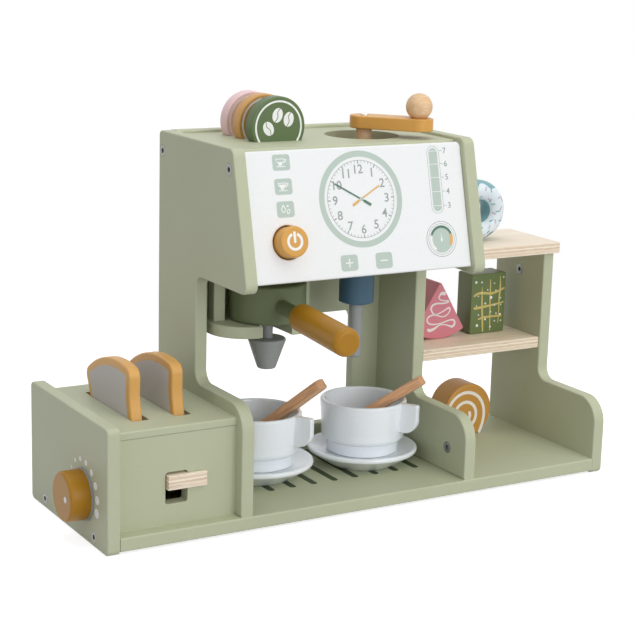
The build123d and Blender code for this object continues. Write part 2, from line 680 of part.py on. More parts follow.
def make_bearing_rail():
    """The rail inside the head in which the crank's post turns."""
    with BuildPart() as crank_bearing_rail:
        with BuildSketch(level(RAIL_UNDER)):
            with Locations((MACHINE_INNER + MACHINE_WIDTH / 2, CRANK_Y)):
                Rectangle(MACHINE_WIDTH, RAIL_DEPTH)
            with Locations((PIVOT_X, CRANK_Y)):
                Circle(CRANK_POST_DIAMETER / 2 + RUNNING_FIT, mode=Mode.SUBTRACT)
        extrude(amount=BOARD)
    save(crank_bearing_rail, "crank_bearing_rail")


# ---------------------------------------------------------------- power button
def make_power_button():
    """The power button with the flange that keeps it behind the fascia."""
    flange = BUTTON_DIAMETER / 2 + BUTTON_GAP + BUTTON_FLANGE_RIM
    with BuildPart() as power_button:
        with BuildSketch(fascia_plane(FASCIA_BOARD + AXIAL_PLAY)):
            with Locations((MACHINE_INNER + BUTTON_ACROSS, BUTTON_UP)):
                Circle(BUTTON_DIAMETER / 2)
        extrude(amount=FASCIA_BOARD + AXIAL_PLAY + BUTTON_PROUD)
        rim = power_button.faces().sort_by(fascia_axis())[-1].edges()
        fillet(rim, BUTTON_ROUND)
        with BuildSketch(fascia_plane(FASCIA_BOARD + AXIAL_PLAY)):
            with Locations((MACHINE_INNER + BUTTON_ACROSS, BUTTON_UP)):
                Circle(flange)
        extrude(amount=-BUTTON_FLANGE)
    save(power_button, "power_button")


def make_button_spring_and_block():
    """The spring behind the button and the block, fixed to the left side, that it pushes on."""
    spring_start = FASCIA_BOARD + AXIAL_PLAY + BUTTON_FLANGE
    block_start = spring_start + BUTTON_SPRING_LENGTH
    seat = fascia_plane(block_start)
    place = MACHINE_INNER + BUTTON_ACROSS
    with BuildPart() as button_spring:
        centre = seat.from_local_coords((place, BUTTON_UP, 0))
        base = Plane(centre, x_dir=seat.x_dir, z_dir=seat.z_dir)
        spring_sleeve(base, BUTTON_SPRING_DIAMETER, BUTTON_SPRING_LENGTH)
    save(button_spring, "button_spring")
    block_width = 2 * BUTTON_ACROSS
    block_rise = HEAD_FLOOR_TOP + BUTTON_BLOCK_GAP - HEAD_UNDERSIDE
    block_back = FASCIA_SETBACK + block_start + BUTTON_BLOCK_THICK
    block_low = (block_rise + block_back * sin(HEAD_SLOPE)) / cos(HEAD_SLOPE) - FASCIA_LIFT
    block_height = BUTTON_UP + BUTTON_BLOCK_ABOVE - block_low
    with BuildPart() as button_block:
        with BuildSketch(seat):
            with Locations((MACHINE_INNER + block_width / 2, block_low + block_height / 2)):
                Rectangle(block_width, block_height)
        extrude(amount=-BUTTON_BLOCK_THICK)
    save(button_block, "button_block")


# ---------------------------------------------------------------- crank
ARM_LOW = MACHINE_LID_TOP + CRANK_ARM_CLEAR
ARM_TOP = ARM_LOW + CRANK_ARM_THICK
BALL_X = PIVOT_X + CRANK_THROW * cos(radians(CRANK_TURN))
BALL_Y = CRANK_Y + CRANK_THROW * sin(radians(CRANK_TURN))


def make_crank():
    """The grinder's crank: arm, post, collars, screw and ball knob, which all turn together."""
    with BuildPart() as crank_arm:
        with BuildSketch(level(ARM_LOW)):
            with Locations(((PIVOT_X + BALL_X) / 2, (CRANK_Y + BALL_Y) / 2)):
                SlotCenterToCenter(CRANK_THROW, CRANK_ARM_WIDTH, rotation=CRANK_TURN)
        extrude(amount=CRANK_ARM_THICK)
        round_faces(crank_arm, Axis.Z, CRANK_ARM_ROUND)
        with BuildSketch(level(ARM_TOP)):
            with Locations((PIVOT_X, CRANK_Y)):
                Circle(CRANK_SCREW_SHANK / 2 + HOLE_FIT)
        extrude(amount=-CRANK_ARM_THICK, mode=Mode.SUBTRACT)
    save(crank_arm, "crank_arm")

    post_low = RAIL_UNDER - CRANK_POST_BELOW_RAIL
    with BuildPart() as crank_post:
        with BuildSketch(level(post_low)):
            with Locations((PIVOT_X, CRANK_Y)):
                Circle(CRANK_POST_DIAMETER / 2)
        extrude(amount=ARM_LOW - post_low)
        with BuildSketch(level(ARM_LOW)):
            with Locations((PIVOT_X, CRANK_Y)):
                Circle(CRANK_SCREW_SHANK / 2 + HOLE_FIT)
        extrude(amount=-(CRANK_SCREW_LENGTH - CRANK_ARM_THICK), mode=Mode.SUBTRACT)
    save(crank_post, "crank_post")

    with BuildPart() as crank_collars:
        for low in (RAIL_TOP + AXIAL_PLAY, RAIL_UNDER - AXIAL_PLAY - CRANK_COLLAR_THICK):
            with BuildSketch(level(low)):
                with Locations((PIVOT_X, CRANK_Y)):
                    Circle(CRANK_COLLAR_DIAMETER / 2)
                    Circle(CRANK_POST_DIAMETER / 2, mode=Mode.SUBTRACT)
            extrude(amount=CRANK_COLLAR_THICK)
    save(crank_collars, "crank_collars")

    with BuildPart() as crank_screw:
        with BuildSketch(level(ARM_TOP)):
            with Locations((PIVOT_X, CRANK_Y)):
                Circle(CRANK_SCREW_HEAD / 2)
        extrude(amount=CRANK_SCREW_HEAD_HEIGHT)
        fillet(crank_screw.faces().sort_by(Axis.Z)[-1].edges(), CRANK_SCREW_HEAD_HEIGHT / 2)
        with BuildSketch(level(ARM_TOP)):
            with Locations((PIVOT_X, CRANK_Y)):
                Circle(CRANK_SCREW_SHANK / 2)
        extrude(amount=-CRANK_SCREW_LENGTH)
    save(crank_screw, "crank_screw")

    radius = CRANK_BALL_DIAMETER / 2
    flat_drop = (radius**2 - CRANK_BALL_FLAT**2 / 4) ** 0.5
    with BuildPart() as crank_ball:
        with Locations(point(BALL_X, BALL_Y, ARM_TOP + flat_drop)):
            Sphere(radius)
        split(bisect_by=level(ARM_TOP), keep=Keep.TOP)
    save(crank_ball, "crank_ball")


# ---------------------------------------------------------------- coffee pads
def make_pads():
    """Three coffee pads that stand in the slots of the top board."""
    for number, name in enumerate(("pad_green", "pad_yellow", "pad_pink")):
        with BuildPart() as pad:
            with BuildSketch(front(PAD_FIRST + number * PAD_PITCH + PAD_THICK)):
                with Locations((PAD_X, MACHINE_LID_TOP + PAD_ABOVE)):
                    Circle(PAD_DIAMETER / 2)
            extrude(amount=PAD_THICK)
            round_faces(pad, Axis.Y, PAD_ROUND)
        save(pad, name)


# ---------------------------------------------------------------- portafilter holder and frother
def make_holder():
    """The fork that the portafilter hangs in and its two posts."""
    left = MACHINE_INNER + HOLDER_LEFT
    right = left + HOLDER_WIDTH
    fork_left = MACHINE_INNER + FORK_LEFT
    fork_right = fork_left + FORK_WIDTH
    fork_end = HOLDER_FRONT + FORK_DEPTH
    corner = FORK_WIDTH / 2 - EDGE_ROUND
    left_corner = min(HOLDER_CORNER, FORK_LEFT - HOLDER_LEFT - HOLDER_FLAT)
    with BuildPart() as holder_plate:
        with BuildSketch(level(HOLDER_LOW)):
            with BuildLine():
                FilletPolyline(
                    (left, BACK_INNER),
                    (left, HOLDER_FRONT),
                    (fork_left, HOLDER_FRONT),
                    (fork_left, fork_end),
                    (fork_right, fork_end),
                    (fork_right, HOLDER_FRONT),
                    (right, HOLDER_FRONT),
                    (right, BACK_INNER),
                    radius=[0, left_corner, 0, corner, corner, 0, HOLDER_CORNER, 0],
                    close=True,
                )
            make_face()
        extrude(amount=HOLDER_THICK)
        round_faces(holder_plate, Axis.Z, HOLDER_ROUND)
    save(holder_plate, "holder_plate")

    post_places = {
        "holder_post_left": left + POST_LEFT_INSET + POST_WIDTH / 2,
        "holder_post_right": right - POST_RIGHT_INSET - POST_WIDTH / 2,
    }
    for name, x in post_places.items():
        with BuildPart() as post:
            with BuildSketch(level(HOLDER_TOP)):
                with Locations((x, POST_FRONT + POST_DEPTH / 2)):
                    RectangleRounded(POST_WIDTH, POST_DEPTH, EDGE_ROUND)
            extrude(amount=HEAD_FLOOR_LOW - HOLDER_TOP)
        save(post, name)


def turned(name, x, y, profile, rounding=None):
    """A piece turned about the upright axis at x, y. The profile lists radius and height pairs."""
    plane = Plane(origin=point(x, y, 0), x_dir=(1, 0, 0), z_dir=(0, -1, 0))
    with BuildPart() as piece:
        with BuildSketch(plane):
            with BuildLine():
                FilletPolyline(*profile, radius=rounding or [0] * len(profile), close=True)
            make_face()
        revolve(axis=Axis(point(x, y, 0), (0, 0, 1)))
    save(piece, name)


def make_frother():
    """The milk frother: a body under the head floor and its wand."""
    x = MACHINE_INNER + FROTHER_ACROSS
    body = FROTHER_BODY_DIAMETER / 2
    wand = FROTHER_WAND_DIAMETER / 2
    turned(
        "frother_body",
        x,
        FROTHER_Y,
        [(0, FROTHER_BODY_BOTTOM), (body, FROTHER_BODY_BOTTOM), (body, HEAD_FLOOR_LOW), (0, HEAD_FLOOR_LOW)],
        [0, FROTHER_ROUND, 0, 0],
    )
    turned(
        "frother_wand",
        x,
        FROTHER_Y,
        [
            (0, FROTHER_WAND_BOTTOM),
            (wand, FROTHER_WAND_BOTTOM),
            (wand, FROTHER_BODY_BOTTOM),
            (0, FROTHER_BODY_BOTTOM),
        ],
        [0, FROTHER_ROUND, 0, 0],
    )


def make_spout():
    """The coffee spout: a stem that runs in the fork and a cone under it."""
    stem = SPOUT_STEM_DIAMETER / 2
    pin = PIVOT_PIN_DIAMETER / 2
    seat = HOLDER_TOP + BASKET_LIFT
    cone_top = HOLDER_TOP - SPOUT_TOP_DROP
    turned(
        "spout_stem",
        BASKET_X,
        BASKET_Y,
        [
            (0, cone_top),
            (stem, cone_top),
            (stem, seat - AXIAL_PLAY),
            (pin, seat - AXIAL_PLAY),
            (pin, seat + PIVOT_PIN_HEIGHT - AXIAL_PLAY),
            (0, seat + PIVOT_PIN_HEIGHT - AXIAL_PLAY),
        ],
    )
    wide = SPOUT_TOP_DIAMETER / 2
    narrow = SPOUT_TIP_DIAMETER / 2
    turned(
        "spout_cone",
        BASKET_X,
        BASKET_Y,
        [(0, cone_top - SPOUT_HEIGHT), (narrow, cone_top - SPOUT_HEIGHT), (wide, cone_top), (0, cone_top)],
        [0, SPOUT_ROUND, SPOUT_ROUND, 0],
    )


def make_portafilter():
    """The basket with its neck and handle, which swing about the spout's pin."""
    low = HOLDER_TOP + BASKET_LIFT
    high = low + BASKET_HEIGHT
    wide = BASKET_DIAMETER / 2
    bore = PIVOT_PIN_DIAMETER / 2 + RUNNING_FIT
    turned(
        "portafilter_basket",
        BASKET_X,
        BASKET_Y,
        [
            (0, low + PIVOT_PIN_HEIGHT),
            (bore, low + PIVOT_PIN_HEIGHT),
            (bore, low),
            (wide, low),
            (wide, high),
            (0, high),
        ],
        [0, 0, 0, BASKET_ROUND, BASKET_ROUND, 0],
    )
    heading = Vector(-sin(radians(HANDLE_TURN)), -cos(radians(HANDLE_TURN)), 0)
    axle = point(BASKET_X, BASKET_Y, HOLDER_TOP + HANDLE_TAIL)
    root = wide - PLY_ROUND
    with BuildPart() as portafilter_neck:
        with BuildSketch(Plane(origin=axle + heading * root, z_dir=heading)):
            Circle(NECK_DIAMETER / 2)
        extrude(amount=NECK_LENGTH + PLY_ROUND)
        drum_plane = Plane(origin=point(BASKET_X, BASKET_Y, low), x_dir=(1, 0, 0), z_dir=(0, 0, 1))
        with BuildSketch(drum_plane):
            Circle(wide)
        extrude(amount=BASKET_HEIGHT, mode=Mode.SUBTRACT)
    save(portafilter_neck, "portafilter_neck")

    with BuildPart() as portafilter_handle:
        with BuildSketch(Plane(origin=axle + heading * (wide + NECK_LENGTH), z_dir=heading)):
            Circle(HANDLE_DIAMETER / 2)
        extrude(amount=HANDLE_LENGTH)
        ends = portafilter_handle.edges().filter_by(GeomType.CIRCLE)
        fillet(ends, HANDLE_ROUND)
    save(portafilter_handle, "portafilter_handle")


# ---------------------------------------------------------------- toaster
def make_toaster_box():
    """The toaster's lid with two bread slots, and its front and back panels."""
    lid_middle = (TOASTER_INNER + TOASTER_WIDTH / 2, TOASTER_LID_FRONT + TOASTER_LID_DEPTH / 2)
    with BuildPart() as toaster_top_board:
        with BuildSketch(level(TOASTER_LID_LOW)):
            with Locations(lid_middle):
                Rectangle(TOASTER_WIDTH, TOASTER_LID_DEPTH)
            for number in range(2):
                x = SLOT_X + number * SLOT_PITCH + SLOT_WIDTH / 2
                with Locations((x, SLOT_FRONT + SLOT_LENGTH / 2)):
                    Rectangle(SLOT_WIDTH, SLOT_LENGTH, mode=Mode.SUBTRACT)
        extrude(amount=THIN_BOARD)
        front_edges = toaster_top_board.faces().sort_by(Axis.Y)[0].edges().filter_by(Axis.X)
        fillet(front_edges, EDGE_ROUND)
    save(toaster_top_board, "toaster_top_board")

    panel_height = TOASTER_LID_LOW - BASE_TOP
    panel_middle = (TOASTER_INNER + TOASTER_WIDTH / 2, BASE_TOP + panel_height / 2)
    sill = BASE_TOP + LEVER_WINDOW_SILL
    with BuildPart() as toaster_front_panel:
        with BuildSketch(front(TOASTER_PANEL_FRONT + BOARD)):
            with Locations(panel_middle):
                Rectangle(TOASTER_WIDTH, panel_height)
            with Locations((LEVER_X + LEVER_WINDOW_WIDTH / 2, sill + LEVER_WINDOW_HEIGHT / 2)):
                RectangleRounded(
                    LEVER_WINDOW_WIDTH, LEVER_WINDOW_HEIGHT, LEVER_WINDOW_CORNER, mode=Mode.SUBTRACT
                )
        extrude(amount=BOARD)
        face_edges = toaster_front_panel.faces().sort_by(Axis.Y)[0].inner_wires().edges()
        fillet(face_edges, EDGE_ROUND / 2)
    save(toaster_front_panel, "toaster_front_panel")

    panel_back = TOASTER_LID_FRONT + TOASTER_LID_DEPTH - TOASTER_PANEL_SETBACK
    with BuildPart() as toaster_back_panel:
        with BuildSketch(front(panel_back)):
            with Locations(panel_middle):
                Rectangle(TOASTER_WIDTH, panel_height)
        extrude(amount=BOARD)
    save(toaster_back_panel, "toaster_back_panel")


def rod_places():
    """Where the lift's two guide rods stand."""
    half = GUIDE_ROD_PITCH / 2
    return [(LIFT_MIDDLE, LIFT_PLATE_MIDDLE - half), (LIFT_MIDDLE, LIFT_PLATE_MIDDLE + half)]


def make_lift():
    """The toaster's lift: the lever in the front window, the plate under the bread, rods and springs."""
    arm_width = LEVER_WINDOW_WIDTH - 2 * LEVER_SIDE_GAP
    tab_back = TOASTER_PANEL_FRONT - LEVER_TAB_GAP
    tab_front = TOASTER_PANEL_FRONT - LEVER_TAB_PROUD
    arm_left = LEVER_X + LEVER_SIDE_GAP
    arm_right = arm_left + arm_width
    with BuildPart() as toast_lever:
        with BuildSketch(level(LEVER_LOW)):
            with BuildLine():
                Polyline(
                    (arm_left, tab_front),
                    (arm_right + LEVER_TAB_REACH, tab_front),
                    (arm_right + LEVER_TAB_REACH, tab_back),
                    (arm_right, tab_back),
                    (arm_right, LIFT_PLATE_FRONT),
                    (arm_left, LIFT_PLATE_FRONT),
                    close=True,
                )
            make_face()
        extrude(amount=LEVER_THICK)
        fillet(toast_lever.faces().sort_by(Axis.Y)[0].edges(), PLY_ROUND)
    save(toast_lever, "toast_lever")

    with BuildPart() as lift_plate:
        with BuildSketch(level(LEVER_LOW)):
            with Locations((LIFT_MIDDLE, LIFT_PLATE_MIDDLE)):
                Rectangle(LIFT_PLATE_WIDTH, LIFT_PLATE_DEPTH)
            with Locations(*rod_places()):
                Circle(GUIDE_ROD_DIAMETER / 2 + RUNNING_FIT, mode=Mode.SUBTRACT)
        extrude(amount=LEVER_THICK)
    save(lift_plate, "lift_plate")

    with BuildPart() as lift_guide_rods:
        with BuildSketch(level(BASE_TOP)):
            with Locations(*rod_places()):
                Circle(GUIDE_ROD_DIAMETER / 2)
        extrude(amount=TOASTER_LID_LOW - BASE_TOP)
    save(lift_guide_rods, "lift_guide_rods")

    for name, (x, y) in zip(("lift_spring_front", "lift_spring_back"), rod_places()):
        with BuildPart() as spring:
            spring_sleeve(Plane(origin=point(x, y, BASE_TOP)), LIFT_SPRING_DIAMETER, LEVER_LOW - BASE_TOP)
        save(spring, name)


def make_toast(name, number):
    """A slice of toast, leaning back in its slot, with its lower back corner on the lift plate."""
    lean = radians(TOAST_LEAN)
    waist_y = SLOT_FRONT + SLOT_LENGTH / 2 - TOAST_AHEAD
    foot_reach = (TOAST_HALF_FOOT - TOAST_FOOT_CORNER) * sin(lean)
    foot_reach += (TOAST_FOOT_DROP - TOAST_FOOT_CORNER) * cos(lean) + TOAST_FOOT_CORNER
    waist_z = LEVER_TOP + TOAST_FOOT_GAP + foot_reach
    x = SLOT_X + number * SLOT_PITCH + TOAST_SIDE_GAP
    plane = Plane(
        origin=point(x, waist_y, waist_z),
        x_dir=(0, cos(lean), -sin(lean)),
        z_dir=(1, 0, 0),
    )
    half_outline = [
        (TOAST_HALF_FOOT, -TOAST_FOOT_DROP),
        (TOAST_HALF_WAIST, 0),
        (TOAST_HALF_CROWN, TOAST_CROWN_RISE),
    ]
    half_radii = [TOAST_FOOT_CORNER, TOAST_WAIST_RADIUS, TOAST_CROWN_CORNER]
    mirrored = [(-across, up) for across, up in reversed(half_outline)]
    with BuildPart() as toast:
        with BuildSketch(plane):
            with BuildLine():
                FilletPolyline(
                    *half_outline,
                    (0, TOAST_PEAK_RISE),
                    *mirrored,
                    radius=[*half_radii, TOAST_TOP_RADIUS, *reversed(half_radii)],
                    close=True,
                )
            make_face()
        extrude(amount=TOAST_THICK)
        round_faces(toast, Axis.X, TOAST_ROUND)
    save(toast, name)


def make_knob():
    """The browning knob: knob, washer, shaft and the collar that holds them in the panel."""

    def disc(name, start, thick, outer, bore=0.0, rounding=0.0):
        with BuildPart() as piece:
            with BuildSketch(side(start)):
                with Locations((KNOB_Y, KNOB_Z)):
                    Circle(outer / 2)
                    if bore:
                        Circle(bore / 2, mode=Mode.SUBTRACT)
            extrude(amount=thick)
            if rounding:
                fillet(piece.faces().sort_by(Axis.X)[0].outer_wire().edges(), rounding)
        save(piece, name)

    disc("toaster_knob", -KNOB_FACE, KNOB_THICK, KNOB_DIAMETER, rounding=KNOB_ROUND)
    disc("knob_washer", -KNOB_CLEAR - WASHER_THICK, WASHER_THICK, WASHER_DIAMETER, bore=SHAFT_DIAMETER)
    collar_start = BOARD + AXIAL_PLAY
    shaft_start = -KNOB_CLEAR - WASHER_THICK
    shaft_end = collar_start + SHAFT_COLLAR_THICK + SHAFT_TAIL
    disc("knob_shaft", shaft_start, shaft_end - shaft_start, SHAFT_DIAMETER)
    disc("knob_collar", collar_start, SHAFT_COLLAR_THICK, SHAFT_COLLAR_DIAMETER, bore=SHAFT_DIAMETER)


# ---------------------------------------------------------------- shelves and cakes
def make_shelves():
    """Two plywood shelves."""
    upper_length = SHELF_END + UPPER_SHELF_OVERHANG - SHELF_INNER
    upper_depth = DEPTH - UPPER_SHELF_FRONT
    shelf(
        "upper_shelf",
        level(SHELF_PANEL_HEIGHT),
        upper_length,
        upper_depth,
        (SHELF_INNER + upper_length / 2, UPPER_SHELF_FRONT + upper_depth / 2),
    )
    middle_depth = DEPTH - MIDDLE_SHELF_FRONT
    shelf(
        "middle_shelf",
        level(MIDDLE_SHELF_LOW),
        SHELF_WIDTH,
        middle_depth,
        (SHELF_INNER + SHELF_WIDTH / 2, MIDDLE_SHELF_FRONT + middle_depth / 2),
    )


def make_donut():
    """The iced ring doughnut on the upper shelf."""
    tube = (DONUT_RADIUS - DONUT_HOLE / 2) / 2
    x = SHELF_INNER + DONUT_ACROSS
    z = UPPER_SHELF_TOP + CAKE_GAP + DONUT_RADIUS
    y = DONUT_FRONT + DONUT_THICK / 2
    with BuildPart() as donut:
        with BuildSketch(side(x)):
            with Locations((y, z + DONUT_HOLE / 2 + tube)):
                Ellipse(DONUT_THICK / 2, tube)
        revolve(axis=Axis(point(x, y, z), (0, 1, 0)))
    save(donut, "donut")


def make_wedge():
    """The cake wedge that stands on its round side on the middle shelf."""
    x = SHELF_INNER + WEDGE_ACROSS
    apex = MIDDLE_SHELF_TOP + CAKE_GAP + WEDGE_RADIUS
    half = radians(WEDGE_HALF_ANGLE)
    reach = (WEDGE_RADIUS * sin(half), apex - WEDGE_RADIUS * cos(half))
    with BuildPart() as cake_wedge:
        with BuildSketch(front(WEDGE_FRONT + WEDGE_THICK)) as sector:
            with BuildLine():
                Line((x, apex), (x + reach[0], reach[1]))
                ThreePointArc((x + reach[0], reach[1]), (x, apex - WEDGE_RADIUS), (x - reach[0], reach[1]))
                Line((x - reach[0], reach[1]), (x, apex))
            make_face()
            fillet(sector.vertices(), CAKE_ROUND)
        extrude(amount=WEDGE_THICK)
        round_faces(cake_wedge, Axis.Y, CAKE_ROUND / 2)
    save(cake_wedge, "cake_wedge")


def make_cake_block():
    """The square cake on the middle shelf."""
    x = SHELF_INNER + CAKE_ACROSS + CAKE_WIDTH / 2
    z = MIDDLE_SHELF_TOP + CAKE_GAP + CAKE_HEIGHT / 2
    with BuildPart() as cake_block:
        with BuildSketch(front(CAKE_FRONT + CAKE_THICK)):
            with Locations((x, z)):
                RectangleRounded(CAKE_WIDTH, CAKE_HEIGHT, CAKE_ROUND)
        extrude(amount=CAKE_THICK)
        round_faces(cake_block, Axis.Y, CAKE_ROUND / 2)
    save(cake_block, "cake_block")


def make_cake_roll():
    """The Swiss roll on the base board, with a flat that keeps it from rolling."""
    x = SHELF_INNER + ROLL_ACROSS
    z = BASE_TOP + CAKE_GAP + ROLL_RADIUS - ROLL_FLAT
    with BuildPart() as cake_roll:
        with BuildSketch(front(ROLL_FRONT + ROLL_THICK)):
            with Locations((x, z)):
                Circle(ROLL_RADIUS)
            with Locations((x, BASE_TOP + CAKE_GAP - ROLL_RADIUS / 2)):
                Rectangle(2 * ROLL_RADIUS, ROLL_RADIUS, mode=Mode.SUBTRACT)
        extrude(amount=ROLL_THICK)
        round_faces(cake_roll, Axis.Y, CAKE_ROUND)
    save(cake_roll, "cake_roll")


# ---------------------------------------------------------------- cups
def make_saucer(name, x, y):
    """A saucer with a flat well for the cup."""
    foot_z = BASE_TOP + SAUCER_LIFT
    foot = SAUCER_FOOT / 2
    edge = SAUCER_DIAMETER / 2
    well = SAUCER_WELL / 2
    turned(
        name,
        x,
        y,
        [
            (0, foot_z),
            (foot, foot_z),
            (edge, foot_z + SAUCER_EDGE_LOW),
            (edge, foot_z + SAUCER_EDGE_HIGH),
            (well, foot_z + SAUCER_WELL_HEIGHT),
            (0, foot_z + SAUCER_WELL_HEIGHT),
        ],
        [0, SAUCER_FOOT_ROUND, SAUCER_EDGE_ROUND, SAUCER_EDGE_ROUND, SAUCER_WELL_ROUND, 0],
    )


def make_cup(name, x, y):
    """A cup with a stepped foot and a solid fin for a handle."""
    low = BASE_TOP + SAUCER_LIFT + SAUCER_WELL_HEIGHT + CUP_LIFT
    top = low + CUP_HEIGHT
    rim = CUP_RIM / 2
    shoulder = rim - CUP_SHOULDER / 2
    foot = CUP_FOOT / 2
    heading = Vector(cos(radians(CUP_HANDLE_TURN)), sin(radians(CUP_HANDLE_TURN)), 0)
    across = Vector(0, 0, 1).cross(heading)
    turn_plane = Plane(origin=point(x, y, 0), x_dir=(1, 0, 0), z_dir=(0, -1, 0))
    upright = Axis(point(x, y, 0), (0, 0, 1))
    fin_plane = Plane(origin=point(x, y, 0) - across * (CUP_HANDLE_THICK / 2), x_dir=heading, z_dir=-across)
    inside = rim - CUP_WALL
    with BuildPart() as cup:
        with BuildSketch(fin_plane):
            with BuildLine():
                FilletPolyline(
                    (inside + CUP_WALL / 3, top),
                    (CUP_HANDLE_REACH, top),
                    (CUP_HANDLE_REACH, top - CUP_HANDLE_DEPTH),
                    (inside + CUP_WALL / 3, top - CUP_HANDLE_DEPTH),
                    radius=[0, CUP_EDGE_ROUND, CUP_HANDLE_CORNER, 0],
                    close=True,
                )
            make_face()
        extrude(amount=-CUP_HANDLE_THICK)
        fin_faces = cup.faces().sort_by(Axis(fin_plane.origin, across))
        fillet(fin_faces[0].edges() + fin_faces[-1].edges(), CUP_HANDLE_ROUND)
        with BuildSketch(turn_plane):
            with BuildLine():
                FilletPolyline(
                    (0, low),
                    (foot, low),
                    (foot, low + CUP_FOOT_HEIGHT),
                    (shoulder, low + CUP_FOOT_HEIGHT),
                    (shoulder, low + CUP_SHOULDER_HEIGHT),
                    (rim, top),
                    (inside, top),
                    (shoulder - CUP_WALL, low + CUP_SHOULDER_HEIGHT),
                    (foot - CUP_WALL, low + CUP_FLOOR),
                    (0, low + CUP_FLOOR),
                    radius=[
                        0,
                        CUP_FOOT_ROUND,
                        0,
                        CUP_STEP_ROUND,
                        CUP_BELLY_ROUND,
                        CUP_EDGE_ROUND,
                        CUP_EDGE_ROUND,
                        CUP_INSIDE_ROUND,
                        CUP_INSIDE_ROUND,
                        0,
                    ],
                    close=True,
                )
            make_face()
        revolve(axis=upright)
    save(cup, name)


LEFT_SPOON = (
    LEFT_SPOON_ROUND_CUP,
    LEFT_SPOON_REACH,
    LEFT_SPOON_RISE,
    LEFT_SPOON_HEADING,
    LEFT_SPOON_SLOPE,
    LEFT_SPOON_ROLL,
)
RIGHT_SPOON = (
    RIGHT_SPOON_ROUND_CUP,
    RIGHT_SPOON_REACH,
    RIGHT_SPOON_RISE,
    RIGHT_SPOON_HEADING,
    RIGHT_SPOON_SLOPE,
    RIGHT_SPOON_ROLL,
)


def make_spoon(name, cup_x, cup_y, place):
    """A flat wooden spoon that leans on the cup's rim."""
    around, reach, height, heading_angle, slope, roll = place
    rim_z = BASE_TOP + SAUCER_LIFT + SAUCER_WELL_HEIGHT + CUP_LIFT + CUP_HEIGHT
    radius = CUP_RIM / 2 + reach
    tip = point(
        cup_x + radius * cos(radians(around)),
        cup_y + radius * sin(radians(around)),
        rim_z + height,
    )
    heading = radians(heading_angle)
    rise = radians(slope)
    along = Vector(cos(rise) * cos(heading), cos(rise) * sin(heading), sin(rise))
    level_across = Vector(-sin(heading), cos(heading), 0)
    upright = along.cross(level_across)
    up = upright * cos(radians(roll)) - level_across * sin(radians(roll))
    low_face = tip - along * (SPOON_LENGTH / 2) - up * (SPOON_THICK / 2)
    with BuildPart() as spoon:
        with BuildSketch(Plane(origin=low_face, x_dir=along, z_dir=up)):
            RectangleRounded(SPOON_LENGTH, SPOON_WIDTH, (SPOON_WIDTH - SPOON_END_FLAT) / 2)
        extrude(amount=SPOON_THICK)
        faces = spoon.faces().sort_by(Axis(low_face, up))
        fillet(faces[0].edges() + faces[-1].edges(), SPOON_ROUND)
    save(spoon, name)


def make_place_settings():
    """Two saucers, two cups and two spoons."""
    places = (("left", LEFT_SET_X, LEFT_SET_Y, LEFT_SPOON), ("right", RIGHT_SET_X, RIGHT_SET_Y, RIGHT_SPOON))
    for hand, x, y, spoon in places:
        make_saucer(f"saucer_{hand}", x, y)
        make_cup(f"cup_{hand}", x, y)
        make_spoon(f"spoon_{hand}", x, y, spoon)


# ---------------------------------------------------------------- fasteners
def make_fasteners():
    """Bolts and screws, each kind in one file."""
    with BuildPart() as machine_bolts:
        bolt(facing_left(LEFT_SIDE), from_left(HEAD_BOLTS), **MACHINE_BOLT)
        bolt(side(SHELF_INNER), HEAD_BOLTS, **MACHINE_BOLT)
    save(machine_bolts, "machine_bolts")
    with BuildPart() as base_screws:
        bolt(facing_left(0), from_left(BASE_SCREWS), **BASE_SCREW)
        bolt(side(SHELF_END), BASE_SCREWS, **BASE_SCREW)
    save(base_screws, "base_screws")
    with BuildPart() as short_bolts:
        bolt(facing_left(RIGHT_SIDE), from_left([FOOT_BOLT]), **SHORT_SCREW)
        bolt(facing_left(SHELF_SIDE), from_left([SHELF_SCREW]), **SHORT_SCREW)
    save(short_bolts, "short_bolts")


def main():
    """Builds every piece."""
    os.makedirs("parts", exist_ok=True)
    make_base_board()
    make_toaster_outer_side()
    outward = facing_left(LEFT_SIDE)
    make_machine_side("machine_left_side", LEFT_SIDE, LEFT_FOOT_TOP, outward, from_left(HEAD_BOLTS))
    outward = side(SHELF_INNER)
    make_machine_side("machine_right_side", RIGHT_SIDE, RIGHT_FOOT_TOP, outward, HEAD_BOLTS, [FOOT_BOLT])
    make_shelf_outer_side()
    make_back_panel()
    between_sides("machine_top_board", MACHINE_LID_LOW, MACHINE_LID_TOP, cut_machine_lid)
    between_sides("head_floor", HEAD_FLOOR_LOW, HEAD_FLOOR_TOP)
    make_fascia()
    make_bearing_rail()
    make_power_button()
    make_button_spring_and_block()
    make_crank()
    make_pads()
    make_holder()
    make_frother()
    make_spout()
    make_portafilter()
    make_toaster_box()
    make_lift()
    make_toast("toast_left", 0)
    make_toast("toast_right", 1)
    make_knob()
    make_shelves()
    make_donut()
    make_wedge()
    make_cake_block()
    make_cake_roll()
    make_place_settings()
    make_fasteners()


main()
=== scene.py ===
"""Dresses the toy coffee station: boards, printed panel, toast, cakes, cups, spoons and springs.

Lengths in the classes are millimetres unless a name or a docstring says otherwise; meshes are in
metres. Station coordinates count x from the toaster's outer face, y from the base's front edge and
z from the floor.
"""

import json
import logging
from collections.abc import Callable, Sequence
from dataclasses import dataclass, field
from enum import Enum
from math import atan2, cos, pi, radians, sin, tau
from random import Random

import bmesh
import bpy
import numpy as np
from mathutils import Matrix, Vector

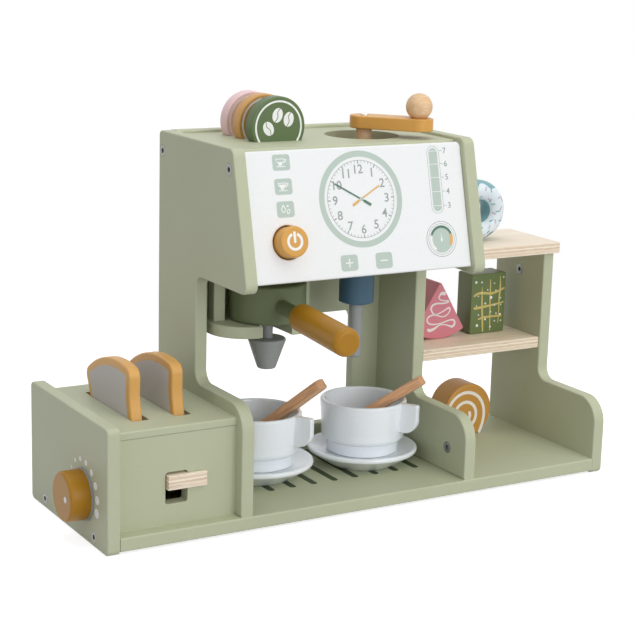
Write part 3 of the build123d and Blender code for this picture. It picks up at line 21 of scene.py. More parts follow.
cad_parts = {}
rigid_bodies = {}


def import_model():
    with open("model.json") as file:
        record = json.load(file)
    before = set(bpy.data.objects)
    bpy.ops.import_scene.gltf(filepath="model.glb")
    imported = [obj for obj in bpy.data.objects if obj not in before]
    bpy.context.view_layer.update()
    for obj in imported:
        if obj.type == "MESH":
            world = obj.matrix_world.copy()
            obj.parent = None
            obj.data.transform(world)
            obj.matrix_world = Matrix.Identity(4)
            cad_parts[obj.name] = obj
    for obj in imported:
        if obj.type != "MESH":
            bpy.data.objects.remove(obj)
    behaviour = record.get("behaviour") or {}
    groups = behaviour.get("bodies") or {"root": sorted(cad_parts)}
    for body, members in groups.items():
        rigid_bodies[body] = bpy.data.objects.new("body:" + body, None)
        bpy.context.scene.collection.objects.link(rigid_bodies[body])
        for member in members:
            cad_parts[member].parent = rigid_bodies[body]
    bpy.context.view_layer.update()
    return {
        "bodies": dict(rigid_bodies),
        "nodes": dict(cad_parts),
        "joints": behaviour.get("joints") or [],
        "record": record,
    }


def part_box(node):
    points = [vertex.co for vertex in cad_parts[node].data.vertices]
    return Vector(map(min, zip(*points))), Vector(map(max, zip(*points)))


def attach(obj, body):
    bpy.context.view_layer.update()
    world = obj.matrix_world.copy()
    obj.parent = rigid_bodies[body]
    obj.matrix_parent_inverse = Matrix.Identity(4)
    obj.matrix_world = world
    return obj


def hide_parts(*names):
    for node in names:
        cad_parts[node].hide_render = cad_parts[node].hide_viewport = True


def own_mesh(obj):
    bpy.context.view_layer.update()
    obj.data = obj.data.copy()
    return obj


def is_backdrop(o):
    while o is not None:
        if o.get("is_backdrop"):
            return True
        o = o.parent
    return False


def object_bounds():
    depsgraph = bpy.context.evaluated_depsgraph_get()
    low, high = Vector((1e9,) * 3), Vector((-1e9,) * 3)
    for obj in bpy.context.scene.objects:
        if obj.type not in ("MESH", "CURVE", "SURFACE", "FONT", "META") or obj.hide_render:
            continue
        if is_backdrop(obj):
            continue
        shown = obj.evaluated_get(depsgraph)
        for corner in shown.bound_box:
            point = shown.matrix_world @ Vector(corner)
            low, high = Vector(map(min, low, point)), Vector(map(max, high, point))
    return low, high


LOG = logging.getLogger("coffee_station")
MM = 0.001
STATION = "station"
END_TURN = 88.0
END_FAN = (-1.05, -0.52, 0.0, 0.52, 1.05)
RIGHTWARDS, FRONTWARDS = Vector((1, 0, 0)), Vector((0, -1, 0))
BACKWARDS, UPWARDS = Vector((0, 1, 0)), Vector((0, 0, 1))

Point = tuple[float, float]
Triple = tuple[float, float, float]
Outline = tuple[Point, ...]
Colour = tuple[int, int, int]
Loop = list[Point]


# ---------------------------------------------------------------- bench tools
def linear(red: float, green: float, blue: float) -> tuple[float, float, float, float]:
    """Turns a 0 to 255 display colour into the linear colour that shaders read.

    Args:
        red, green, blue: The display colour.

    Returns:
        Linear red, green, blue and an alpha of 1.
    """

    def channel(value: float) -> float:
        """Linearises one channel."""
        share = value / 255
        return share / 12.92 if share <= 0.04045 else ((share + 0.055) / 1.055) ** 2.4

    return channel(red), channel(green), channel(blue), 1.0


def turned(*columns: Vector) -> Matrix:
    """Makes the turn that has these three axes."""
    return Matrix([list(row) for row in zip(*columns)]).to_4x4()


def new_object(name: str, data: bpy.types.ID) -> bpy.types.Object:
    """Puts a mesh, curve, lamp or camera into the scene.

    Args:
        name: The new object's name.
        data: What it shows.

    Returns:
        The new object.
    """
    added = bpy.data.objects.new(name, data)
    bpy.context.scene.collection.objects.link(added)
    return added


def choose(*objects: bpy.types.Object) -> None:
    """Selects only these objects and makes the first one active.

    Args:
        objects: The objects, at least one.
    """
    for other in bpy.context.scene.objects:
        other.select_set(False)
    for chosen in objects:
        chosen.select_set(True)
    bpy.context.view_layer.objects.active = objects[0]


def pick_faces(piece: bpy.types.Object, wanted: Callable[[bpy.types.MeshPolygon], bool]) -> None:
    """Selects the faces of a mesh that a test wants, ready for an edit-mode operator.

    Args:
        piece: The mesh object.
        wanted: Says of a face whether to select it.
    """
    for part in (*piece.data.vertices, *piece.data.edges):
        part.select = False
    for face in piece.data.polygons:
        face.select = wanted(face)


def edit(piece: bpy.types.Object, *steps: Callable[[], object]) -> None:
    """Runs edit-mode operators on the selected faces of one piece.

    Args:
        piece: The mesh object.
        steps: The operators in order, each as a call that takes nothing.
    """
    choose(piece)
    bpy.ops.object.mode_set(mode="EDIT")
    bpy.ops.mesh.select_mode(type="FACE")
    for step in steps:
        step()
    bpy.ops.object.mode_set(mode="OBJECT")


def close_up(piece: bpy.types.Object, gap: float = 1e-7) -> None:
    """Merges a mesh's doubles and turns its faces outwards.

    Args:
        piece: The mesh object.
        gap: How far apart doubles may be, in metres.
    """
    edit(
        piece,
        lambda: bpy.ops.mesh.select_all(action="SELECT"),
        lambda: bpy.ops.mesh.remove_doubles(threshold=gap),
        lambda: bpy.ops.mesh.normals_make_consistent(inside=False),
    )


def settle(piece: bpy.types.Object) -> None:
    """Moves a new piece's place, turn and size into its mesh."""
    choose(piece)
    bpy.ops.object.transform_apply(location=True, rotation=True, scale=True)


def modify(piece: bpy.types.Object, kind: str, **settings: object) -> None:
    """Adds a modifier and applies it.

    Args:
        piece: The mesh object.
        kind: The modifier's type.
        settings: The modifier's own settings.
    """
    choose(piece)
    modifier = piece.modifiers.new(kind.lower(), kind)
    for name, value in settings.items():
        setattr(modifier, name, value)
    bpy.ops.object.modifier_apply(modifier=modifier.name)


def round_edges(piece: bpy.types.Object, width: float, segments: int = 2) -> None:
    """Bevels the sharp edges of a piece.

    Args:
        piece: The mesh object.
        width: The bevel's width in metres.
        segments: How many steps it has.
    """
    sharp = radians(50)
    modify(
        piece, "BEVEL", width=width, segments=segments, limit_method="ANGLE", angle_limit=sharp
    )


def copy_of(source: bpy.types.Object, name: str) -> bpy.types.Object:
    """Makes a new object with its own copy of another's mesh.

    Args:
        source: The object to copy the shape of.
        name: The new piece's name.

    Returns:
        The new object, with no material.
    """
    mesh = source.data.copy()
    mesh.name = name
    mesh.materials.clear()
    return new_object(name, mesh)


def joined(pieces: Sequence[bpy.types.Object], name: str) -> bpy.types.Object:
    """Joins meshes into one and names it.

    Args:
        pieces: The mesh objects, at least one.
        name: The name of what they make.

    Returns:
        The one piece.
    """
    choose(*pieces)
    if len(pieces) > 1:
        bpy.ops.object.join()
    piece = pieces[0]
    piece.name = piece.data.name = name
    return piece


def smooth_shade(piece: bpy.types.Object, angle: float) -> None:
    """Shades a piece smooth except across edges sharper than an angle in degrees."""
    choose(piece)
    bpy.ops.object.shade_smooth_by_angle(angle=radians(angle))


# ---------------------------------------------------------------- shader graphs
class Graph:
    """Lays out the nodes of one material or one shader group."""

    def __init__(self, tree: bpy.types.NodeTree) -> None:
        """Starts on a node tree."""
        self.tree = tree
        self.count = 0

    def feed(self, node: bpy.types.Node, sockets: dict) -> None:
        """Sets a node's inputs.

        Args:
            node: The node.
            sockets: Input name or index to a value, or to an output socket to link.
        """
        for key, value in sockets.items():
            socket = node.inputs[key]
            if isinstance(value, bpy.types.NodeSocket):
                self.tree.links.new(value, socket)
            else:
                socket.default_value = value[:3] if socket.type == "VECTOR" else value

    def node(self, kind: str, sockets: dict | None = None, **settings: object) -> bpy.types.Node:
        """Adds a node.

        Args:
            kind: The node type without its ShaderNode prefix.
            sockets: Input name or index to a value, or to an output socket to link.
            settings: The node's own settings.

        Returns:
            The new node.
        """
        node = self.tree.nodes.new(f"ShaderNode{kind}")
        node.location = (220 * (self.count % 8), -240 * (self.count // 8))
        self.count += 1
        for name, value in settings.items():
            setattr(node, name, value)
        self.feed(node, sockets or {})
        return node

    def place(self) -> bpy.types.NodeSocket:
        """Adds the piece's own coordinates."""
        return self.node("TexCoord").outputs["Object"]

    def framed(self, frame: Matrix) -> bpy.types.NodeSocket:
        """Adds the piece's own coordinates as another frame counts them.

        Args:
            frame: The other frame.

        Returns:
            The coordinates.
        """
        sockets = {
            "Vector": self.place(),
            "Location": frame.to_translation(),
            "Rotation": frame.to_euler(),
        }
        return self.node("Mapping", sockets, vector_type="TEXTURE").outputs[0]

    def math(self, operation: str, *values: object) -> bpy.types.NodeSocket:
        """Adds a maths step and returns its output."""
        return self.node("Math", dict(enumerate(values)), operation=operation).outputs[0]

    def swing(self, value: bpy.types.NodeSocket, reach: object) -> bpy.types.NodeSocket:
        """Centres a grey value on nought and scales it."""
        return self.math("MULTIPLY", self.math("SUBTRACT", value, 0.5), reach)

    def weigh(self, *parts: tuple[bpy.types.NodeSocket, float]) -> bpy.types.NodeSocket:
        """Adds two grey values, each by its own share."""
        return self.math("ADD", *(self.math("MULTIPLY", value, share) for value, share in parts))

    def noise(
        self,
        place: bpy.types.NodeSocket,
        scale: float,
        detail: float,
        stretch: Triple | None = None,
    ) -> bpy.types.NodeSocket:
        """Adds a noise texture.

        Args:
            place: The coordinates that it follows.
            scale: How fine it is.
            detail: How many finer layers it has.
            stretch: A scale for each axis of the coordinates.

        Returns:
            Its grey value.
        """
        if stretch:
            place = self.node("Mapping", {"Vector": place, "Scale": stretch}).outputs[0]
        sockets = {"Vector": place, "Scale": scale, "Detail": detail}
        return self.node("TexNoise", sockets).outputs[0]

    def spread(
        self,
        value: bpy.types.NodeSocket,
        low: float,
        high: float,
        bottom: float = 0.0,
        top: float = 1.0,
    ) -> bpy.types.NodeSocket:
        """Maps low to high onto bottom to top, clamped."""
        sockets = {0: value, 1: low, 2: high, 3: bottom, 4: top}
        return self.node("MapRange", sockets).outputs[0]

    def mix(self, factor: object, first: object, second: object) -> bpy.types.NodeSocket:
        """Mixes two colours."""
        return self.node("Mix", {0: factor, 6: first, 7: second}, data_type="RGBA").outputs[2]

    def shade(self, colour: object, value: bpy.types.NodeSocket) -> bpy.types.NodeSocket:
        """Multiplies a colour by a grey value."""
        return self.node("VectorMath", {0: colour, 3: value}, operation="SCALE").outputs[0]

    def bump(self, height: bpy.types.NodeSocket, depth: float) -> bpy.types.NodeSocket:
        """Turns a height into a normal, with the depth in millimetres."""
        sockets = {"Strength": 1.0, "Distance": depth * MM, "Height": height}
        return self.node("Bump", sockets).outputs[0]


class Effect(Enum):
    """Surface effects shared by the finishes."""

    PAINT = "brushed_paint"
    TIMBER = "long_grain"
    PLIES = "glued_plies"
    METAL = "drawn_metal"

    def tree(self) -> bpy.types.NodeTree:
        """Returns the effect's shader group, built on its first use."""
        return bpy.data.node_groups.get(self.value) or BUILDERS[self]()

    def apply(self, graph: Graph, values: dict) -> bpy.types.bpy_prop_collection:
        """Places the effect in a material with its own values and returns its outputs."""
        return graph.node("Group", values, node_tree=self.tree()).outputs

    def sheet(
        self, inputs: dict[str, str], outputs: dict[str, str]
    ) -> tuple[Graph, bpy.types.bpy_prop_collection, bpy.types.Node]:
        """Starts the effect's shader group.

        Args:
            inputs: Input names and their socket kinds.
            outputs: Output names and their socket kinds.

        Returns:
            The graph, what the group is given, and the node that it gives out through.
        """
        group = bpy.data.node_groups.new(self.value, "ShaderNodeTree")
        for side, names in (("INPUT", inputs), ("OUTPUT", outputs)):
            for name, kind in names.items():
                group.interface.new_socket(name, in_out=side, socket_type=f"NodeSocket{kind}")
        entry = group.nodes.new("NodeGroupInput")
        entry.location = (-300, 0)
        leave = group.nodes.new("NodeGroupOutput")
        leave.location = (1900, 0)
        return Graph(group), entry.outputs, leave


def paint_effect() -> bpy.types.NodeTree:
    """Builds soft mottling, a fine brushed peel and paler edges, partly wear from rubbing and
    partly a painted highlight on the lit rounded edges.

    Returns:
        The shader group.
    """
    graph, given, leave = Effect.PAINT.sheet(
        {"Paint": "Color", "Rubbed": "Color", "Mottle": "Float", "Edge": "Float", "Gloss": "Float"},
        {"Color": "Color", "Roughness": "Float", "Normal": "Vector"},
    )
    place = graph.place()
    cloud = graph.noise(place, 16.0, 3.0)
    grit = graph.noise(place, 420.0, 2.0)
    peel = graph.noise(place, 950.0, 1.0)
    mottling = graph.math("ADD", graph.swing(cloud, given["Mottle"]), graph.swing(grit, 0.05))
    coat = graph.shade(given["Paint"], graph.math("ADD", mottling, 1.0))
    # Paler edges: a bevel mask broken by noise patches mixes in the edge colour, partly wear from
    # rubbing and partly a painted highlight where light catches the rounded edges.
    soft = graph.node("Bevel", {"Radius": 1.3 * MM}, samples=4).outputs[0]
    true = graph.node("NewGeometry").outputs["Normal"]
    turn = graph.node("VectorMath", {0: soft, 1: true}, operation="DOT_PRODUCT").outputs["Value"]
    patches = graph.spread(graph.noise(place, 90.0, 3.0), 0.35, 0.65, 0.4, 1.0)
    wear_highlight_mask = graph.math("MULTIPLY", graph.spread(turn, 0.995, 0.87), patches)
    worn_and_highlighted = graph.mix(graph.math("MULTIPLY", wear_highlight_mask, given["Edge"]), coat, given["Rubbed"])
    rough = graph.math("ADD", given["Gloss"], graph.swing(grit, 0.16))
    graph.feed(leave, {"Color": worn_and_highlighted, "Roughness": rough, "Normal": graph.bump(peel, 0.02)})
    return graph.tree


def timber_effect() -> bpy.types.NodeTree:
    """Builds bare timber with its grain along the X axis of its place.

    Returns:
        The shader group.
    """
    graph, given, leave = Effect.TIMBER.sheet(
        {"Place": "Vector", "Light": "Color", "Dark": "Color"},
        {"Color": "Color", "Streak": "Float", "Normal": "Vector"},
    )
    place = given["Place"]
    streak = graph.noise(place, 900.0, 4.0, (0.07, 1.0, 1.0))
    growth = graph.noise(place, 160.0, 3.0, (0.05, 1.0, 1.0))
    pore = graph.noise(place, 2600.0, 1.0, (0.03, 1.0, 1.0))
    share = graph.weigh((streak, 0.45), (growth, 0.55))
    colour = graph.mix(graph.spread(share, 0.36, 0.66), given["Light"], given["Dark"])
    dotted = graph.shade(colour, graph.spread(pore, 0.55, 0.75, 1.0, 0.86))
    graph.feed(leave, {"Color": dotted, "Streak": streak, "Normal": graph.bump(streak, 0.03)})
    return graph.tree


def plies_effect() -> bpy.types.NodeTree:
    """Builds level plywood: veneer above and below, and glued layers along the edges.

    Returns:
        The shader group.
    """
    graph, given, leave = Effect.PLIES.sheet(
        {"Place": "Vector", "Light": "Color", "Dark": "Color", "Glue": "Color", "Ply": "Float"},
        {"Color": "Color", "Normal": "Vector"},
    )
    place = given["Place"]
    height = graph.node("SeparateXYZ", {0: place}).outputs[2]
    level = graph.math("DIVIDE", height, given["Ply"])
    number = graph.math("FLOOR", level)
    cross = graph.math("MODULO", number, 2.0)
    tone = graph.node("TexWhiteNoise", {"W": number}, noise_dimensions="1D").outputs[0]
    streak = graph.noise(place, 1500.0, 3.0, (0.08, 0.08, 1.0))
    sheets = graph.weigh((cross, 0.45), (tone, 0.35))
    darker = graph.math("ADD", sheets, graph.spread(streak, 0.35, 0.7, -0.15, 0.3))
    layer = graph.mix(darker, given["Light"], given["Dark"])
    inside = graph.math("SUBTRACT", level, number)
    seam = graph.math("MAXIMUM", graph.spread(inside, 0.12, 0.0), graph.spread(inside, 0.9, 1.0))
    void = graph.spread(graph.noise(place, 55.0, 2.0, (1.0, 1.0, 6.0)), 0.62, 0.68)
    glued = graph.math("MULTIPLY", seam, graph.math("ADD", void, 0.22))
    edge = graph.mix(graph.math("MINIMUM", glued, 1.0), layer, given["Glue"])
    grain = graph.noise(place, 420.0, 4.0, (0.06, 1.0, 0.06))
    flame = graph.noise(place, 60.0, 3.0, (0.12, 1.0, 0.1))
    figure = graph.spread(graph.weigh((grain, 0.5), (flame, 0.5)), 0.38, 0.72, 0.0, 0.6)
    face = graph.mix(figure, given["Light"], given["Dark"])
    out = graph.node("SeparateXYZ", {0: graph.node("TexCoord").outputs["Normal"]}).outputs[2]
    flat = graph.spread(graph.math("ABSOLUTE", out), 0.6, 0.8)
    graph.feed(leave, {"Color": graph.mix(flat, edge, face), "Normal": graph.bump(streak, 0.035)})
    return graph.tree


def metal_effect() -> bpy.types.NodeTree:
    """Builds plated steel with fine drawn lines and dull spots.

    Returns:
        The shader group.
    """
    graph, given, leave = Effect.METAL.sheet(
        {"Metal": "Color", "Dull": "Float"},
        {"Color": "Color", "Roughness": "Float", "Normal": "Vector"},
    )
    place = graph.place()
    line = graph.noise(place, 2400.0, 2.0, (1.0, 1.0, 0.1))
    spot = graph.noise(place, 380.0, 3.0)
    colour = graph.shade(given["Metal"], graph.spread(spot, 0.3, 0.7, 0.8, 1.1))
    rough = graph.math("ADD", given["Dull"], graph.spread(line, 0.3, 0.7, -0.08, 0.12))
    graph.feed(leave, {"Color": colour, "Roughness": rough, "Normal": graph.bump(line, 0.008)})
    return graph.tree


BUILDERS: dict[Effect, Callable[[], bpy.types.NodeTree]] = {
    Effect.PAINT: paint_effect,
    Effect.TIMBER: timber_effect,
    Effect.PLIES: plies_effect,
    Effect.METAL: metal_effect,
}


def new_material(name: str) -> tuple[bpy.types.Material, Graph, bpy.types.Node]:
    """Starts a material.

    Args:
        name: The material's name.

    Returns:
        The material, its graph and its main shader node.
    """
    material = bpy.data.materials.new(name)
    material.use_nodes = True
    shader = material.node_tree.nodes["Principled BSDF"]
    return material, Graph(material.node_tree), shader


# ---------------------------------------------------------------- finishes
@dataclass(frozen=True)
class Paint:
    """Water-based paint, rolled on boards and sprayed on turned pieces."""

    colour: Colour
    # The edge colour: partly wear from rubbing, partly a painted highlight on lit rounded edges.
    rubbed: Colour
    gloss: float = 0.5
    mottle: float = 0.1
    edge: float = 0.5
    coat: float = 0.0

    def dress(self, name: str) -> bpy.types.Material:
        """Builds the paint's material.

        Args:
            name: The material's name.

        Returns:
            The material.
        """
        material, graph, shader = new_material(name)
        values = {
            "Paint": linear(*self.colour),
            "Rubbed": linear(*self.rubbed),
            "Mottle": self.mottle,
            "Edge": self.edge,
            "Gloss": self.gloss,
        }
        effect = Effect.PAINT.apply(graph, values)
        sockets = {
            "Base Color": effect["Color"],
            "Roughness": effect["Roughness"],
            "Normal": effect["Normal"],
            "Specular IOR Level": 0.35,
            "Coat Weight": self.coat,
            "Coat Roughness": 0.25,
        }
        graph.feed(shader, sockets)
        return material


@dataclass(frozen=True)
class Timber:
    """Bare timber; where it is singed, its sawn edges are darker than its faces."""

    light: Colour
    dark: Colour
    singed: Colour | None = None
    half_thick: float = 3.75
    singe_from: float = 0.55
    singe_full: float = 0.1

    def dress(self, name: str, frame: Matrix | None = None) -> bpy.types.Material:
        """Builds the timber's material.

        Args:
            name: The material's name.
            frame: The grain's own frame, with its X along the fibres, or None for the station's.

        Returns:
            The material.
        """
        material, graph, shader = new_material(name)
        place = graph.framed(frame or Matrix.Identity(4))
        values = {"Place": place, "Light": linear(*self.light), "Dark": linear(*self.dark)}
        effect = Effect.TIMBER.apply(graph, values)
        colour = effect["Color"]
        if self.singed:
            height = graph.math("ABSOLUTE", graph.node("SeparateXYZ", {0: place}).outputs[2])
            low, high = self.half_thick - self.singe_from, self.half_thick - self.singe_full
            streak = graph.spread(effect["Streak"], 0.3, 0.7, 0.75, 1.2)
            singe = graph.shade(linear(*self.singed), streak)
            colour = graph.mix(graph.spread(height, low * MM, high * MM), singe, colour)
        sockets = {
            "Base Color": colour,
            "Normal": effect["Normal"],
            "Roughness": 0.58,
            "Specular IOR Level": 0.3,
        }
        graph.feed(shader, sockets)
        return material


@dataclass(frozen=True)
class Plywood:
    """Clear-lacquered birch plywood, laid level; its underside and thickness are in metres."""

    underside: float
    thickness: float
    plies: int = 7
    light: Colour = (252, 240, 222)
    dark: Colour = (220, 190, 156)
    glue: Colour = (96, 70, 48)

    def dress(self, name: str) -> bpy.types.Material:
        """Builds the plywood's material, with its sheets counted from its underside.

        Args:
            name: The material's name.

        Returns:
            The material.
        """
        material, graph, shader = new_material(name)
        values = {
            "Place": graph.framed(Matrix.Translation((0.0, 0.0, self.underside))),
            "Light": linear(*self.light),
            "Dark": linear(*self.dark),
            "Glue": linear(*self.glue),
            "Ply": self.thickness / self.plies,
        }
        effect = Effect.PLIES.apply(graph, values)
        sockets = {
            "Base Color": effect["Color"],
            "Normal": effect["Normal"],
            "Roughness": 0.45,
            "Specular IOR Level": 0.35,
        }
        graph.feed(shader, sockets)
        return material


@dataclass(frozen=True)
class Metal:
    """Plated steel."""

    colour: Colour
    dull: float

    def dress(self, name: str) -> bpy.types.Material:
        """Builds the metal's material.

        Args:
            name: The material's name.

        Returns:
            The material.
        """
        material, graph, shader = new_material(name)
        effect = Effect.METAL.apply(graph, {"Metal": linear(*self.colour), "Dull": self.dull})
        sockets = {
            "Base Color": effect["Color"],
            "Roughness": effect["Roughness"],
            "Normal": effect["Normal"],
            "Metallic": 1.0,
        }
        graph.feed(shader, sockets)
        return material


def printed(colour: Colour, gloss: float = 0.6, mottle: float = 0.08) -> Paint:
    """Mixes an ink, whose edges aren't paler than its middle."""
    return Paint(colour, colour, gloss=gloss, mottle=mottle)


class Finish(Enum):
    """Every finish that more than one piece can take."""

    # Each paint's second colour is its edge colour: partly wear from rubbing, partly a painted
    # highlight on lit rounded edges.
    SAGE = Paint((187, 191, 162), (205, 209, 182), gloss=0.52, mottle=0.07)
    WHITE = Paint((240, 241, 241), (246, 246, 244), gloss=0.42, mottle=0.03)
    DEEP_MUSTARD = Paint((166, 116, 4), (180, 128, 14), gloss=0.42, mottle=0.12, coat=0.04)
    MUSTARD = Paint((214, 158, 74), (224, 172, 96), gloss=0.4, mottle=0.12, coat=0.15)
    OLIVE = Paint((104, 114, 82), (128, 138, 104), gloss=0.45, mottle=0.1)
    GREY = Paint((156, 158, 157), (168, 169, 168), gloss=0.42, mottle=0.08)
    BLUE = Paint((68, 100, 120), (106, 132, 148), gloss=0.42, mottle=0.1)
    GREEN = Paint((92, 112, 70), (118, 138, 94), gloss=0.42, mottle=0.1, coat=0.1)
    OCHRE = Paint((212, 160, 92), (224, 176, 112), gloss=0.42, mottle=0.1, coat=0.1)
    PINK = Paint((240, 206, 206), (242, 214, 216), gloss=0.42, mottle=0.08, coat=0.1)
    ROSE = Paint((214, 130, 142), (216, 142, 150), gloss=0.42, mottle=0.1, coat=0.1)
    CAKE_GREEN = Paint((104, 120, 72), (120, 130, 94), gloss=0.42, mottle=0.1, coat=0.1)
    CARAMEL = Paint((202, 147, 72), (208, 158, 90), gloss=0.42, mottle=0.12, coat=0.1)
    TEAL = Paint((130, 172, 180), (156, 192, 198), gloss=0.42, mottle=0.08)
    CRUST = Paint((218, 165, 88), (234, 192, 128), gloss=0.42, mottle=0.12, coat=0.1)
    CRUMB = Paint((200, 194, 190), (198, 192, 186), gloss=0.6, mottle=0.1)
    LACQUER = Paint((241, 245, 250), (244, 247, 251), gloss=0.22, mottle=0.012, coat=0.4)
    ICING = Paint((226, 236, 243), (234, 242, 248), gloss=0.35, mottle=0.05)
    INK_SAGE = printed((188, 202, 192), mottle=0.06)
    INK_WHITE = printed((243, 243, 241), 0.55, 0.03)
    INK_GREY = printed((158, 167, 163), mottle=0.06)
    INK_GREEN = printed((92, 124, 108))
    INK_YELLOW = printed((226, 180, 110))
    INK_STRIPE = printed((66, 78, 54), mottle=0.12)
    INK_CREAM = printed((242, 236, 226), 0.55, 0.05)
    INK_DRIZZLE = printed((236, 228, 226), 0.5, 0.05)
    INK_STRAW = printed((205, 186, 112), 0.55, 0.1)
    INK_MAUVE = printed((204, 178, 196), 0.55)
    INK_SEA = printed((138, 178, 182), 0.55)
    RAW = Timber((238, 204, 162), (210, 166, 120))
    DARK_STEEL = Metal((120, 120, 116), 0.42)
    BRIGHT_STEEL = Metal((205, 204, 200), 0.3)

    def material(self) -> bpy.types.Material:
        """Returns the finish's material, built on its first use."""
        name = self.name.lower()
        return bpy.data.materials.get(name) or self.value.dress(name)


# ---------------------------------------------------------------- shared building
@dataclass
class Station:
    """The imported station: its pieces and its joints, by name."""

    nodes: dict[str, bpy.types.Object]
    joints: dict[str, dict]

    def at(self, x: float, y: float, z: float) -> Vector:
        """Turns station millimetres into the scene's metres.

        Args:
            x, y, z: A point in station coordinates.

        Returns:
            The same point in the scene.
        """
        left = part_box("toaster_outer_side")[0].x
        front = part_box("base_board")[0].y
        return Vector((left + x * MM, front + y * MM, z * MM))

    def paint(self, finish: Finish, *names: str) -> None:
        """Gives a finish to CAD nodes."""
        for name in names:
            self.coat(finish.material(), name)

    def veneer(self, *names: str) -> None:
        """Dresses CAD nodes in plywood, each with its sheets counted from its own underside.

        Args:
            names: The nodes' names.
        """
        for name in names:
            low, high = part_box(name)
            self.coat(Plywood(low.z, high.z - low.z).dress(f"{name}_ply"), name)

    def coat(self, material: bpy.types.Material, name: str) -> None:
        """Gives a material to one CAD node.

        Args:
            material: The material.
            name: The node's name.
        """
        slots = self.nodes[name].material_slots
        for slot in slots:
            slot.material = material
        if not slots:
            self.nodes[name].data.materials.append(material)
        LOG.info("%s takes %s", name, material.name)

    def add(self, piece: bpy.types.Object, body: str, slot: str, finish: Finish) -> None:
        """Dresses a new piece and lets it ride on a body.

        Args:
            piece: The new piece.
            body: The body it rides on.
            slot: Not used.
            finish: Its finish.
        """
        piece.data.materials.clear()
        piece.data.materials.append(finish.material())
        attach(piece, body)
        LOG.info("%s rides %s, %d faces", piece.name, body, len(piece.data.polygons))


# ---------------------------------------------------------------- outlines
def moved(points: Sequence[Sequence[float]], x: float, y: float) -> Loop:
    """Moves an outline."""
    return [(x + px, y + py) for px, py in points]


def circle(x: float, y: float, radius: float, count: int = 56) -> Loop:
    """Outlines a circle."""
    angles = [tau * i / count for i in range(count)]
    return [(x + radius * cos(a), y + radius * sin(a)) for a in angles]


def oval(x: float, y: float, across: float, along: float, turn: float) -> Loop:
    """Outlines an ellipse, turned by degrees.

    Args:
        x, y: Its middle.
        across, along: Its two diameters.
        turn: How far it is turned.

    Returns:
        The outline.
    """
    spin = Matrix.Rotation(radians(turn), 2)
    points = [spin @ Vector((across / 2 * u, along / 2 * v)) for u, v in circle(0, 0, 1, 36)]
    return moved(points, x, y)


def arc(x: float, y: float, radius: float, start: float, end: float, count: int = 32) -> Loop:
    """Points along an arc between two angles in degrees."""
    angles = [radians(start + (end - start) * i / (count - 1)) for i in range(count)]
    return [(x + radius * cos(a), y + radius * sin(a)) for a in angles]


def band(x: float, y: float, outer: float, inner: float, start: float, end: float) -> Loop:
    """Outlines part of a ring."""
    return arc(x, y, outer, start, end) + arc(x, y, inner, end, start)


def rounded(x: float, y: float, width: float, height: float, radius: float) -> Loop:
    """Outlines a rectangle with rounded corners.

    Args:
        x, y: Its middle.
        width, height: Its sides.
        radius: Its corners' radius.

    Returns:
        The outline.
    """
    reach, rise = width / 2 - radius, height / 2 - radius
    corners = ((reach, rise, 0), (-reach, rise, 90), (-reach, -rise, 180), (reach, -rise, 270))
    return [p for dx, dy, a in corners for p in arc(x + dx, y + dy, radius, a, a + 90, 10)]


def smooth(points: Sequence[Sequence[float]], steps: int = 7) -> list[tuple[float, ...]]:
    """Runs a Catmull-Rom curve through points of any number of values.

    Args:
        points: The points.
        steps: How many steps the curve takes from one point to the next.

    Returns:
        The curve's points.
    """
    padded = [points[0], *points, points[-1]]
    run: list[tuple[float, ...]] = []
    for a, b, c, d in zip(padded, padded[1:], padded[2:], padded[3:]):
        for t in (i / steps for i in range(steps)):
            step = (
                q + 0.5 * t * (r - p + t * (2 * p - 5 * q + 4 * r - s + t * (3 * (q - r) + s - p)))
                for p, q, r, s in zip(a, b, c, d)
            )
            run.append(tuple(step))
    return [*run, tuple(points[-1])]


def sides(path: Sequence[Triple]) -> list[tuple[Point, Point]]:
    """Finds both edges of a stroke of changing width.

    Args:
        path: Points along the stroke's middle, each with the width there.

    Returns:
        The left and the right point beside each point of the path.
    """
    pairs = []
    for i, (x, y, width) in enumerate(path):
        before, after = path[max(i - 1, 0)], path[min(i + 1, len(path) - 1)]
        way = Vector((after[0] - before[0], after[1] - before[1])).normalized()
        across, along = way.y * width / 2, way.x * width / 2
        pairs.append(((x - across, y + along), (x + across, y - along)))
    return pairs


def stroke_outline(path: Sequence[Triple]) -> Loop:
    """Outlines a stroke of changing width; each end turns END_TURN degrees both ways.

    Args:
        path: Points along the stroke's middle, each with the width there.

    Returns:
        The outline.
    """
    ends = []
    for near, far in ((path[-1], path[-2]), (path[0], path[1])):
        heading = atan2(near[1] - far[1], near[0] - far[0]) * 180 / pi
        start, end = heading + END_TURN, heading - END_TURN
        ends.append(arc(near[0], near[1], near[2] / 2, start, end, 9))
    left, right = zip(*sides(path))
    return [*left, *ends[0], *right[::-1], *ends[1]]


